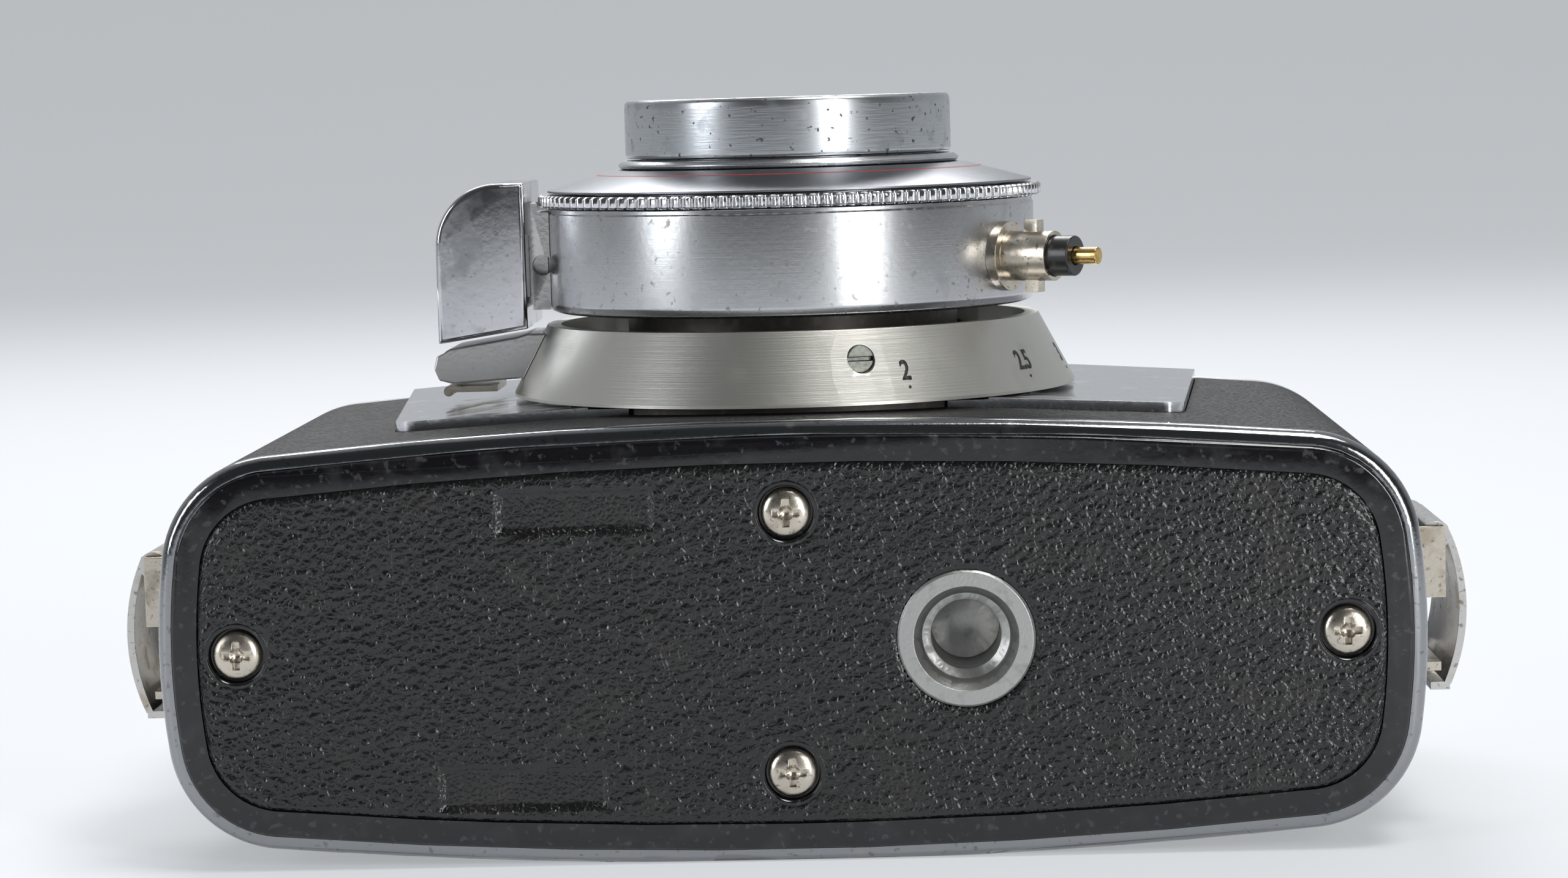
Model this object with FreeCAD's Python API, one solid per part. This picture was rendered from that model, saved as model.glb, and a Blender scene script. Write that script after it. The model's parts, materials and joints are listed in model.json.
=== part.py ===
import FreeCAD, Part
import math
import os

# A coupled-rangefinder 35 mm camera, lying on its back with the lens up. Millimetres.
# Z is the lens axis and points out of the lens, X runs along the body, and Y points from the
# base to the top plate. The origin is where the lens axis meets the plane the back rests on.

# --- body outline, seen along Y: four arcs with rounded corners ---
HALF_WIDTH = 56.0
HALF_DEPTH = 18.8
SIDE_ARC_R = 520.0
END_ARC_R = 63.0
CORNER_R = 9.2
SKIN = 1.3                       # the covering stands this far outside the base outline
CAST = 0.7                       # the casting stands this far outside the base outline
REST_FLAT = 0.3                  # depth dressed off the crown of the back, for a flat to lie on
MID_Z = HALF_DEPTH + SKIN - REST_FLAT
GAP = 0.05                       # between pieces that are assembled and stay put
RUN = 0.05                       # radial clearance of a running fit
CLEAR = 0.3                      # between pieces that move past each other

# --- stations along Y ---
BASE_Y = -34.0
BODY_TOP_Y = 26.0
BASE_RIM_T = 2.2
BORDER_STEP = 0.35               # the lacquered border stands proud of the polished rim
TOP_PLATE_T = 3.0
COVERING_GAP = 0.15

# --- base ---
BORDER_W = 2.4
PANEL_T = 1.1
SCREW_X = 50.06
SCREW_DZ = 11.8
SCREW_HEAD_R = 2.2
SCREW_SHANK_R = 1.0
COLLAR_R = 2.75
SCREW_LENGTH = 7.0
BUSH_X = 15.94
BUSH_R = 6.25
BUSH_LENGTH = 10.5
TRIPOD_R = 3.175                 # 1/4 inch thread
TRIPOD_DEPTH = 7.0
BUSH_LEDGE_R = 4.0
BUSH_MOUTH_R = 4.75
LABELS = [(-25.9, -12.05, 10.6, 14.2), (-31.8, -16.9, -14.5, -10.8)]   # x0, x1, z0, z1 from MID_Z
LABEL_DEPTH = 0.3

# --- back cover ---
SEAM_Z = 13.0
COVER_IN = 0.1
COVER_OUT = 0.75
SEAM_GAP = 0.3
COVER_END_GAP = 0.2
FILM_Z = 8.0
FILM_GAP = 0.4
PRESSURE_T = 1.0
PRESSURE_W = 38.0
PRESSURE_H = 32.0

# --- film path ---
FRAME_W = 36.0
FRAME_H = 24.0
GATE_T = 1.6
GATE_W = 38.0
LIGHT_BOX_W = 36.4
LIGHT_BOX_H = 25.0
CAST_REAR_Z = 3.5
GATE_H = 34.0
CHAMBER_X = 41.0
CHAMBER_Z = 20.5
CHAMBER_R = 12.8
CHAMBER_Y0 = -25.0
CHAMBER_Y1 = 21.0
SPOOL_R = 6.0
SPOOL_FLANGE_R = 11.0
SPROCKET_X = 24.8
SPROCKET_Z = 13.2
SPROCKET_R = 5.0
SPROCKET_POCKET_R = 5.9
SPROCKET_TEETH = 8
SHAFT_R = 2.0
SLEEVE_R = 3.2
REWIND_LIFT = 6.0

# --- front plate ---
PLATE_PROUD = 0.9
PLATE_Y0 = -20.5
PLATE_HALF_LOW = 36.7
PLATE_HALF_HIGH = 41.0
PLATE_CORNER_R = 2.0

# --- lens mount and focus ring ---
TUBE_R = 16.1
TUBE_WALL = 2.1
HELICOID_R = 22.0
HELICOID_Z1 = 44.6
FLANGE_R = 24.8
FLANGE_Z0 = 39.6
FLANGE_T = 0.7
BOSS_R = 25.2
RING_Z0 = 40.5
RING_Z1 = 47.3
RING_R0 = 27.4
RING_R1 = 24.0
RING_WALL = 1.3
RING_BAND = 0.3
GRUB_ANGLE = -74.0
GRUB_Z = 44.6
GRUB_R = 1.25

# --- shutter ---
DRUM_R = 23.75
DRUM_Z0 = 48.5
DRUM_Z1 = 58.6
DRUM_WALL = 1.5
DRUM_FLOOR = 2.5
PORT_R = 8.0
IRIS_PLATE_Z0 = 52.4
IRIS_PLATE_T = 0.6
CAP_T = 1.4
SHOULDER_IN_R = 19.5
SHOULDER_R = 21.0
KNURL_R = 24.55
KNURL_DEPTH = 0.35
KNURL_COUNT = 126
KNURL_Z1 = 59.9
FACE_R0 = 23.6
FACE_R1 = 17.2
FACE_Z0 = 60.1
FACE_Z1 = 62.1
APERTURE_RING_R = 16.6
APERTURE_RING_Z1 = 63.0
BARREL_R = 15.875                # takes 1 1/4 inch slip-on attachments
BARREL_Z0 = 63.2
BARREL_Z1 = 68.8
BARREL_WALL = 1.2
NECK_R = 14.4
LEAF_COUNT = 3
LEAF_R = 8.6
LEAF_PIVOT_R = 16.2
PIVOT_EYE_R = 1.8
LEAF_T = 0.2
LEAF_Z = 51.2
LEAF_PITCH = 0.35
BLADE_COUNT = 5
BLADE_Z = 53.2
BLADE_IN_R = 8.8
BLADE_OUT_R = 13.2
BLADE_SPAN = 110.0
NECK_Z0 = 55.6
NECK_BORE_R = 12.6
BARREL_SEAT_Z = 65.0

# --- release ---
BLOCK_X0 = -34.2
BLOCK_X1 = -25.5
BLOCK_Y0 = -6.0
BLOCK_Y1 = 9.0
BLOCK_Z1 = 61.2
BLOCK_CORNER_R = 6.0
BRACKET_X0 = -24.9
BUTTON_X = -29.2
BUTTON_Z = 55.2
BUTTON_R = 2.4
BUTTON_TRAVEL = 3.0
BUTTON_PROUD = 4.5
CABLE_R = 1.6
CABLE_DEPTH = 4.0

# --- focus lever ---
LEVER_X0 = -34.8
LEVER_Y0 = -5.5
LEVER_Y1 = 5.0

# --- flash post ---
FLASH_ANGLE = -30.0
FLASH_Z = 53.2
FLASH_R = 2.35

# --- side latches ---
LUG_Y0 = -24.0
LUG_Y1 = -5.0
LUG_Z0 = 14.5
LUG_Z1 = 25.4
LUG_X1 = 60.0
LUG_T = 0.8
PIN_X = 59.3
PIN_Z = 27.0
PIN_R = 0.55
KNUCKLE_R = 1.3
BOW_X = 62.0
BOW_T = 0.7
HOOK_Z = 13.2
HOOK_X = 58.6

# --- top ---
KNOB_X = 40.0
KNOB_Z = 20.5
KNOB_R = 9.5
KNOB_H = 9.5
FINDER_X0 = -24.0
FINDER_X1 = 26.0
FINDER_Z0 = 4.5
FINDER_Z1 = 35.0
FINDER_H = 9.0
FINDER_WALL = 1.2

V = FreeCAD.Vector
X_AXIS = V(1, 0, 0)
Y_AXIS = V(0, 1, 0)
Z_AXIS = V(0, 0, 1)
TOP_Y = BODY_TOP_Y + TOP_PLATE_T
FRONT_Z = MID_Z + HALF_DEPTH


# ---------------------------------------------------------------- basic shapes
def block(x0, x1, y0, y1, z0, z1):
    return Part.makeBox(x1 - x0, y1 - y0, z1 - z0, V(x0, y0, z0))


def rod_x(r, x0, x1, y, z):
    return Part.makeCylinder(r, x1 - x0, V(x0, y, z), X_AXIS)


def rod_y(r, y0, y1, x, z):
    return Part.makeCylinder(r, y1 - y0, V(x, y0, z), Y_AXIS)


def rod_z(r, z0, z1, x=0.0, y=0.0):
    return Part.makeCylinder(r, z1 - z0, V(x, y, z0), Z_AXIS)


def prism(points, direction):
    """A closed polygon, given as vectors, carried along a direction."""
    wire = Part.makePolygon(points + [points[0]])
    return Part.Face(wire).extrude(direction)


def turned(profile):
    """A solid of revolution about the lens axis, from (radius, z) points."""
    points = [V(r, 0, z) for r, z in profile]
    face = Part.Face(Part.makePolygon(points + [points[0]]))
    return face.revolve(V(0, 0, 0), Z_AXIS, 360)


def turned_on_y(profile, x, z):
    """A solid of revolution about a line along Y through (x, z), from (radius, y) points."""
    points = [V(x + r, y, z) for r, y in profile]
    face = Part.Face(Part.makePolygon(points + [points[0]]))
    return face.revolve(V(x, 0, z), Y_AXIS, 360)


def star(r_out, r_in, count, low, high):
    """A serrated disc about the lens axis between two heights."""
    points = []
    for step in range(4 * count):
        angle = 2 * math.pi * step / (4 * count)
        r = r_out if step % 4 in (0, 1) else r_in
        points.append(V(r * math.cos(angle), r * math.sin(angle), low))
    return prism(points, V(0, 0, high - low))


def laid_on_y(shape, x, y, z):
    """Turn a shape built about +Z so that it points along +Y, and stand it at a place."""
    out = shape.copy()
    out.rotate(V(0, 0, 0), X_AXIS, -90)
    out.translate(V(x, y, z))
    return out


def turned_to(shape, angle):
    """Swing a shape about the lens axis."""
    out = shape.copy()
    out.rotate(V(0, 0, 0), Z_AXIS, angle)
    return out


def cut_all(shape, tools):
    return shape.cut(tools)


def fuse_all(shapes):
    joined = shapes[0].multiFuse(shapes[1:]) if len(shapes) > 1 else shapes[0]
    return joined.removeSplitter()


def rounded(shape, radius, chosen):
    """Fillet the edges that a test picks."""
    edges = [edge for edge in shape.Edges if chosen(edge)]
    return shape.makeFillet(radius, edges) if edges else shape


def runs_along(edge, axis):
    a, b = edge.Vertexes[0].Point, edge.Vertexes[-1].Point
    line = b.sub(a)
    return line.Length > 1e-6 and abs(line.normalize().dot(axis)) > 0.999


# ---------------------------------------------------------------- body outline
def corner_of(offset):
    """Where the long arc and the end arc meet, as (x, distance from MID_Z)."""
    r1, r2 = SIDE_ARC_R + offset, END_ARC_R + offset
    c1, c2 = HALF_DEPTH - SIDE_ARC_R, HALF_WIDTH - END_ARC_R
    span = math.hypot(c1, c2)
    along = (r1 * r1 - r2 * r2 + span * span) / (2 * span)
    across = math.sqrt(r1 * r1 - along * along)
    ux, uz = c2 / span, -c1 / span
    return along * ux + across * uz, c1 + along * uz - across * ux


def slab(offset, y0, y1):
    """The body outline, grown by an offset, between two stations along Y."""
    cx, cz = corner_of(offset)
    w, d = HALF_WIDTH + offset, HALF_DEPTH + offset

    def at(x, z):
        return V(x, y0, MID_Z + z)

    arcs = [
        Part.Arc(at(-cx, cz), at(0, d), at(cx, cz)),
        Part.Arc(at(cx, cz), at(w, 0), at(cx, -cz)),
        Part.Arc(at(cx, -cz), at(0, -d), at(-cx, -cz)),
        Part.Arc(at(-cx, -cz), at(-w, 0), at(-cx, cz)),
    ]
    wire = Part.Wire([arc.toShape() for arc in arcs])
    solid = Part.Face(wire).extrude(V(0, y1 - y0, 0))
    return rounded(solid, CORNER_R + offset, lambda edge: runs_along(edge, Y_AXIS))


def dressed(shape):
    """Keep what lies above the resting plane."""
    return shape.common(block(-200, 200, -200, 200, 0, 200))


def skin(inner, outer, y0, y1, z0, z1):
    """A shell between two offsets of the outline and two heights."""
    shell = slab(outer, y0, y1).cut(slab(inner, y0 - 1, y1 + 1))
    return shell.common(block(-200, 200, y0, y1, z0, z1))


def outer_edges_at(y):
    """Pick the edges that lie in one plane across Y."""
    return lambda edge: all(abs(v.Point.y - y) < 1e-6 for v in edge.Vertexes) and abs(
        edge.BoundBox.YLength) < 1e-6


# ---------------------------------------------------------------- base
def screw_places():
    return [(-SCREW_X, MID_Z), (SCREW_X, MID_Z), (0.0, MID_Z + SCREW_DZ), (0.0, MID_Z - SCREW_DZ)]


def screw_holes(r, y0, y1):
    return [rod_y(r, y0, y1, x, z) for x, z in screw_places()]


def base_plate():
    """Polished pan whose rounded edge runs round the base."""
    y0 = BASE_Y + BORDER_STEP
    y1 = BASE_Y + BASE_RIM_T
    pan = rounded(slab(SKIN, y0, y1), SKIN - 0.15, outer_edges_at(y0))
    pan = dressed(pan).cut(slab(0.0, BASE_Y - 1, BASE_Y + PANEL_T))
    holes = screw_holes(SCREW_SHANK_R + 0.1, BASE_Y, y1 + 1)
    return cut_all(pan, holes + [rod_y(BUSH_R + GAP, BASE_Y, y1 + 1, BUSH_X, MID_Z + 0.1)])


def base_border():
    """Black lacquered frame between the rim and the grained panel."""
    frame = slab(-GAP, BASE_Y, BASE_Y + PANEL_T)
    frame = rounded(frame, 0.35, outer_edges_at(BASE_Y))
    return frame.cut(slab(-BORDER_W, BASE_Y - 1, BASE_Y + PANEL_T + 1))


def base_grain_panel():
    face_y = BASE_Y + 0.1
    panel = slab(-BORDER_W - GAP, face_y, BASE_Y + PANEL_T)
    recesses = []
    for x0, x1, z0, z1 in LABELS:
        recesses.append(block(x0, x1, BASE_Y - 1, face_y + LABEL_DEPTH, MID_Z + z0, MID_Z + z1))
    holes = screw_holes(COLLAR_R, BASE_Y - 1, BASE_Y + PANEL_T + 1)
    bush = rod_y(BUSH_R + GAP, BASE_Y - 1, BASE_Y + PANEL_T + 1, BUSH_X, MID_Z + 0.1)
    return cut_all(panel, recesses + holes + [bush])


def tripod_bush():
    """Turned bush with a chamfered mouth, a ledge and a drilled, tapped hole."""
    y0 = BASE_Y - 0.05
    drill_end = y0 + 3.0 + TRIPOD_DEPTH
    profile = [
        (BUSH_MOUTH_R, y0), (BUSH_R - 0.25, y0), (BUSH_R, y0 + 0.25), (BUSH_R, y0 + BUSH_LENGTH + 2.5),
        (0, y0 + BUSH_LENGTH + 2.5), (0, drill_end + 1.6), (TRIPOD_R, drill_end),
        (TRIPOD_R, y0 + 3.0), (BUSH_LEDGE_R, y0 + 2.6), (BUSH_LEDGE_R, y0 + 1.3),
    ]
    return turned_on_y(profile, BUSH_X, MID_Z + 0.1)


def base_screw(x, z):
    """A pan-head screw with a cross recess, seated in its collar."""
    seat = BASE_Y + PANEL_T
    head_y = BASE_Y + 0.15
    profile = [
        (0, head_y - 0.25), (1.2, head_y - 0.15), (SCREW_HEAD_R - 0.25, head_y + 0.1),
        (SCREW_HEAD_R, head_y + 0.4), (SCREW_HEAD_R, seat), (SCREW_SHANK_R, seat),
        (SCREW_SHANK_R, seat + SCREW_LENGTH - 1), (0, seat + SCREW_LENGTH),
    ]
    screw = turned_on_y(profile, x, z)
    slot_low = BASE_Y - 1
    slot_high = head_y + 0.55
    cross = [
        block(x - 1.25, x + 1.25, slot_low, slot_high, z - 0.32, z + 0.32),
        block(x - 0.32, x + 0.32, slot_low, slot_high, z - 1.25, z + 1.25),
        turned_on_y([(0, slot_low), (0.7, slot_low), (0.7, slot_high), (0, slot_high + 0.5)], x, z),
    ]
    return cut_all(screw, cross)


def base_screws():
    return Part.makeCompound([base_screw(x, z) for x, z in screw_places()])


# ---------------------------------------------------------------- body
def lens_bore_r():
    return TUBE_R + CLEAR


def chamber(x):
    """A cassette or spool chamber, open to the back."""
    well = rod_y(CHAMBER_R, CHAMBER_Y0, CHAMBER_Y1, x, CHAMBER_Z)
    mouth = block(x - CHAMBER_R, x + CHAMBER_R, CHAMBER_Y0, CHAMBER_Y1, -1, CHAMBER_Z)
    return [well, mouth]


def body_casting():
    y0 = BASE_Y + BASE_RIM_T
    cast = slab(CAST, y0, BODY_TOP_Y)
    boss = rod_z(BOSS_R, FILM_Z + 15, FLANGE_Z0)
    cast = cast.fuse(boss.common(block(-60, 60, y0, BODY_TOP_Y, 0, 60)))
    rebate = slab(SKIN + 5, y0 - 1, BODY_TOP_Y + 1).cut(slab(COVER_IN - SEAM_GAP, y0 - 2, BODY_TOP_Y + 2))
    rebate = rebate.common(block(-100, 100, -60, 60, -10, SEAM_Z + SEAM_GAP))
    gate_half_w = GATE_W / 2 + GAP
    gate_half_h = GATE_H / 2 + GAP
    gate_back = FILM_Z + GATE_T
    path_half = GATE_H / 2 + 0.8
    pocket_x1 = CHAMBER_X - CHAMBER_R + 2
    tools = [rebate, block(-100, 100, -60, 60, -10, CAST_REAR_Z)]
    tools += chamber(-CHAMBER_X) + chamber(CHAMBER_X)
    tools += [
        block(-CHAMBER_X, CHAMBER_X, -path_half, path_half, 0, FILM_Z),
        block(-gate_half_w, gate_half_w, -gate_half_h, gate_half_h, 0, gate_back),
        block(-LIGHT_BOX_W / 2, LIGHT_BOX_W / 2, -LIGHT_BOX_H / 2, LIGHT_BOX_H / 2, 0, 30.0),
        rod_z(lens_bore_r(), 28.0, 60.0),
        rod_y(SPROCKET_POCKET_R, -path_half, path_half, SPROCKET_X, SPROCKET_Z),
        block(SPROCKET_X - SPROCKET_POCKET_R, pocket_x1, -path_half, path_half, 0, SPROCKET_Z),
        rod_y(SHAFT_R + RUN, CHAMBER_Y0 - 3, BODY_TOP_Y + 1, CHAMBER_X, CHAMBER_Z),
        rod_y(SLEEVE_R + RUN, CHAMBER_Y1 - 1, BODY_TOP_Y + 1, -CHAMBER_X, CHAMBER_Z),
        rod_y(SHAFT_R + RUN, -path_half - 4, BODY_TOP_Y + 1, SPROCKET_X, SPROCKET_Z),
        rod_y(BUSH_R + GAP, BASE_Y, BASE_Y + BUSH_LENGTH + 3, BUSH_X, MID_Z + 0.1),
    ]
    tools += screw_holes(SCREW_SHANK_R + 0.02, y0 - 1, BASE_Y + PANEL_T + SCREW_LENGTH + 0.3)
    return cut_all(cast, tools)


def film_gate():
    """Flat plate round the picture frame, with two rails that the film slides on."""
    z1 = FILM_Z + GATE_T
    plate = block(-GATE_W / 2, GATE_W / 2, -GATE_H / 2, GATE_H / 2, FILM_Z + 0.5, z1)
    rails = [
        block(-GATE_W / 2, GATE_W / 2, side - 1.0, side + 1.0, FILM_Z, FILM_Z + 0.6)
        for side in (-14.5, 14.5)
    ]
    plate = fuse_all([plate] + rails)
    return plate.cut(block(-FRAME_W / 2, FRAME_W / 2, -FRAME_H / 2, FRAME_H / 2, 0, 20))


def plate_blank(grow):
    """The front plate's outline carried through the front of the body."""
    low, high = PLATE_HALF_LOW + grow, PLATE_HALF_HIGH + grow
    y0, y1 = PLATE_Y0 - grow, BODY_TOP_Y - GAP
    z0 = FILM_Z + 20
    corners = [V(-low, y0, z0), V(low, y0, z0), V(high, y1, z0), V(-high, y1, z0)]
    solid = prism(corners, V(0, 0, 30))
    near = [
        edge for edge in solid.Edges
        if runs_along(edge, Z_AXIS) and abs(edge.Vertexes[0].Point.y - y0) < 1e-6
    ]
    return solid.makeFillet(PLATE_CORNER_R + grow, near)


def front_plate():
    """Polished plate that carries the lens mount."""
    plate = plate_blank(0).common(slab(SKIN + PLATE_PROUD, BASE_Y, BODY_TOP_Y))
    under_ring = turned([(0, RING_Z0 - 0.2), (RING_R0 + CLEAR, RING_Z0 - 0.2), (RING_R0 + CLEAR, 60), (0, 60)])
    tools = [slab(CAST + GAP, BASE_Y - 1, BODY_TOP_Y + 1), rod_z(BOSS_R + 0.1, 0, 60), under_ring]
    return cut_all(plate, tools)


def front_covering():
    y0 = BASE_Y + BASE_RIM_T + COVERING_GAP
    sheet = skin(CAST + GAP, SKIN, y0, BODY_TOP_Y - COVERING_GAP, SEAM_Z + SEAM_GAP, 100)
    return cut_all(sheet, [plate_blank(0.1), rod_z(BOSS_R + 0.1, 0, 60)])


# ---------------------------------------------------------------- back
def back_cover():
    y0 = BASE_Y + BASE_RIM_T + COVER_END_GAP
    y1 = BODY_TOP_Y - COVER_END_GAP
    shell = slab(COVER_OUT, y0, y1).cut(slab(COVER_IN, y0 + 1.0, y1 - 1.0))
    shell = shell.common(block(-100, 100, -60, 60, -10, SEAM_Z))
    bodywork = slab(COVER_IN, BASE_Y, BODY_TOP_Y + 1)
    return shell.cut(bodywork.common(block(-100, 100, -60, 60, CAST_REAR_Z - SEAM_GAP, 60)))


def back_covering():
    y0 = BASE_Y + BASE_RIM_T + COVER_END_GAP
    return skin(COVER_OUT + GAP, SKIN, y0, BODY_TOP_Y - COVER_END_GAP, 0, SEAM_Z)


def pressure_plate():
    z1 = FILM_Z - FILM_GAP
    half_w, half_h = PRESSURE_W / 2, PRESSURE_H / 2
    plate = block(-half_w, half_w, -half_h, half_h, z1 - PRESSURE_T, z1)
    return rounded(plate, 2.0, lambda edge: runs_along(edge, Z_AXIS))


def pressure_springs():
    """Two bowed leaf springs between the cover and the pressure plate."""
    cover_z = MID_Z - HALF_DEPTH - COVER_IN
    plate_z = FILM_Z - FILM_GAP - PRESSURE_T
    t = 0.3
    springs = []
    for y in (-8.0, 8.0):
        outer = Part.Arc(V(-14, y - 2, cover_z + 0.25), V(0, y - 2, plate_z - 0.02), V(14, y - 2, cover_z + 0.25))
        inner = Part.Arc(V(13.5, y - 2, cover_z + 0.25), V(0, y - 2, plate_z - 0.02 - t), V(-13.5, y - 2, cover_z + 0.25))
        ends = [
            Part.makeLine(V(14, y - 2, cover_z + 0.25), V(13.5, y - 2, cover_z + 0.25)),
            Part.makeLine(V(-13.5, y - 2, cover_z + 0.25), V(-14, y - 2, cover_z + 0.25)),
        ]
        wire = Part.Wire([outer.toShape(), ends[0], inner.toShape(), ends[1]])
        springs.append(Part.Face(wire).extrude(V(0, 4, 0)))
    return Part.makeCompound(springs)


# ---------------------------------------------------------------- lens mount and focus ring
def helicoid_outer():
    """Fixed threaded sleeve on the body that the focus ring turns on."""
    flange_top = FLANGE_Z0 + FLANGE_T
    profile = [
        (TUBE_R + RUN, FLANGE_Z0), (FLANGE_R, FLANGE_Z0), (FLANGE_R, flange_top),
        (HELICOID_R, flange_top), (HELICOID_R, HELICOID_Z1), (TUBE_R + RUN, HELICOID_Z1),
    ]
    return turned(profile)


def helicoid_inner():
    """Tube that slides in the fixed sleeve and carries the shutter."""
    bore = TUBE_R - TUBE_WALL
    return rod_z(TUBE_R, 33.0, DRUM_Z0).cut(rod_z(bore, 32.0, DRUM_Z0 + 1))


def grub_places():
    return [GRUB_ANGLE + 120.0 * step for step in range(3)]


def ring_r_at(z):
    return RING_R0 + (RING_R1 - RING_R0) * (z - RING_Z0 - RING_BAND) / (RING_Z1 - RING_Z0 - RING_BAND)


def focus_ring():
    """Conical focus ring with a recess in its top face."""
    bore = HELICOID_R + RUN
    seat = HELICOID_Z1 + 0.4
    profile = [
        (bore, RING_Z0), (RING_R0, RING_Z0), (RING_R0, RING_Z0 + RING_BAND), (RING_R1, RING_Z1),
        (RING_R1 - RING_WALL, RING_Z1), (RING_R1 - RING_WALL, seat), (bore, seat),
    ]
    ring = turned(profile)
    holes = [turned_to(rod_x(GRUB_R + GAP, HELICOID_R, 30, 0, GRUB_Z), a) for a in grub_places()]
    return cut_all(ring, holes)


def focus_grub_screws():
    screws = []
    face_r = ring_r_at(GRUB_Z) - 0.25
    for angle in grub_places():
        screw = rod_x(GRUB_R, HELICOID_R + RUN + 0.1, face_r, 0, GRUB_Z)
        slot = block(face_r - 0.7, face_r + 1, -2, 2, GRUB_Z - 0.2, GRUB_Z + 0.2)
        screws.append(turned_to(screw.cut(slot), angle))
    return Part.makeCompound(screws)


def focus_lever():
    """Finger lever clamped to the side of the focus ring."""
    y = LEVER_Y0
    outline = [
        V(LEVER_X0, y, 43.4), V(LEVER_X0 + 0.5, y, 42.2), V(LEVER_X0 + 1.8, y, 41.9),
        V(-22.0, y, 42.5), V(-22.0, y, 46.6), V(-25.6, y, 46.6), V(-26.6, y, 46.3),
        V(LEVER_X0 + 1.6, y, 45.3), V(LEVER_X0 + 0.3, y, 44.6),
    ]
    lever = prism(outline, V(0, LEVER_Y1 - LEVER_Y0, 0))
    lever = rounded(lever, 1.2, lambda edge: runs_along(edge, Z_AXIS))
    cone = turned([
        (0, RING_Z0), (RING_R0 + 0.02, RING_Z0), (RING_R0 + 0.02, RING_Z0 + RING_BAND),
        (RING_R1 + 0.02, RING_Z1), (0, RING_Z1),
    ])
    return lever.cut(cone)


def infinity_catch():
    """Sprung tongue under the lever, with a rolled finger end."""
    z0, z1 = 40.6, 41.6
    tongue = block(LEVER_X0 + 1.5, -28.8, LEVER_Y0 + 1.2, LEVER_Y1 - 1.2, z1 - 0.6, z1)
    roll = rod_y(0.5, LEVER_Y0 + 1.2, LEVER_Y1 - 1.2, LEVER_X0 + 1.2, z0 + 0.5)
    return fuse_all([tongue, roll])


# ---------------------------------------------------------------- shutter
def pipe(r_in, r_out, z0, z1):
    return rod_z(r_out, z0, z1).cut(rod_z(r_in, z0 - 1, z1 + 1))


def shutter_housing():
    """Turned drum with a floor, an iris plate and a shoulder for the speed ring."""
    floor = pipe(PORT_R, DRUM_R, DRUM_Z0, DRUM_Z0 + DRUM_FLOOR)
    wall = pipe(DRUM_R - DRUM_WALL, DRUM_R, DRUM_Z0, DRUM_Z1)
    iris_plate = pipe(PORT_R, DRUM_R - DRUM_WALL, IRIS_PLATE_Z0, IRIS_PLATE_Z0 + IRIS_PLATE_T)
    cap = pipe(SHOULDER_IN_R, DRUM_R - 0.5, DRUM_Z1 - CAP_T, DRUM_Z1)
    shoulder = pipe(SHOULDER_IN_R, SHOULDER_R, DRUM_Z1 - 0.5, FACE_Z0 - GAP)
    drum = fuse_all([floor, wall, iris_plate, cap, shoulder])
    rim = [
        edge for edge in drum.Edges
        if abs(edge.BoundBox.XLength - 2 * DRUM_R) < 0.01 and edge.BoundBox.ZMax < DRUM_Z0 + 0.01
        and edge.BoundBox.ZLength < 0.01
    ]
    return drum.makeFillet(1.0, rim)


def speed_ring():
    z0 = DRUM_Z1 + 0.1
    ring = star(KNURL_R, KNURL_R - KNURL_DEPTH, KNURL_COUNT, z0, KNURL_Z1)
    return ring.cut(rod_z(SHOULDER_R + RUN, z0 - 1, KNURL_Z1 + 1))


def faceplate():
    """Conical scale plate round the lens."""
    bore = NECK_R + GAP
    profile = [
        (bore, FACE_Z0), (FACE_R0, FACE_Z0), (FACE_R0, FACE_Z0 + 0.2), (FACE_R1, FACE_Z1),
        (bore, FACE_Z1),
    ]
    return turned(profile)


def aperture_ring():
    z0 = FACE_Z1 + 0.05
    bore = NECK_R + RUN
    profile = [
        (bore, z0), (APERTURE_RING_R - 0.2, z0), (APERTURE_RING_R, z0 + 0.25),
        (APERTURE_RING_R, APERTURE_RING_Z1 - 0.3), (APERTURE_RING_R - 0.3, APERTURE_RING_Z1),
        (bore, APERTURE_RING_Z1),
    ]
    return turned(profile)


def lens_barrel():
    bore = BARREL_R - BARREL_WALL
    profile = [
        (NECK_BORE_R, NECK_Z0), (NECK_R, NECK_Z0), (NECK_R, BARREL_Z0), (BARREL_R, BARREL_Z0),
        (BARREL_R, BARREL_Z1 - 0.3), (BARREL_R - 0.3, BARREL_Z1), (bore + 0.3, BARREL_Z1),
        (bore, BARREL_Z1 - 0.3), (bore, BARREL_SEAT_Z), (NECK_BORE_R, BARREL_SEAT_Z),
    ]
    return turned(profile)


def lens_retaining_ring():
    """Black ring with two spanner slots."""
    z0 = BARREL_SEAT_Z + 0.02
    ring = pipe(11.4, BARREL_R - BARREL_WALL - GAP, z0, z0 + 1.0)
    return ring.cut(block(-20, 20, -0.6, 0.6, z0 + 0.5, z0 + 2))


def glass(r, z0, z1, bulge_low, bulge_high):
    """A round lens with two spherical faces."""
    low = Part.Arc(V(-r, 0, z0), V(0, 0, z0 - bulge_low), V(r, 0, z0)).toShape()
    high = Part.Arc(V(r, 0, z1), V(0, 0, z1 + bulge_high), V(-r, 0, z1)).toShape()
    sides = [Part.makeLine(V(r, 0, z0), V(r, 0, z1)), Part.makeLine(V(-r, 0, z1), V(-r, 0, z0))]
    face = Part.Face(Part.Wire([low, sides[0], high, sides[1]]))
    half = face.common(Part.Face(Part.makePolygon(
        [V(0, 0, z0 - 9), V(2 * r, 0, z0 - 9), V(2 * r, 0, z1 + 9), V(0, 0, z1 + 9), V(0, 0, z0 - 9)])))
    return half.Faces[0].revolve(V(0, 0, 0), Z_AXIS, 360)


def front_element():
    return glass(NECK_BORE_R - GAP, 61.0, BARREL_SEAT_Z - 0.6, 0.8, 1.6)


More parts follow.
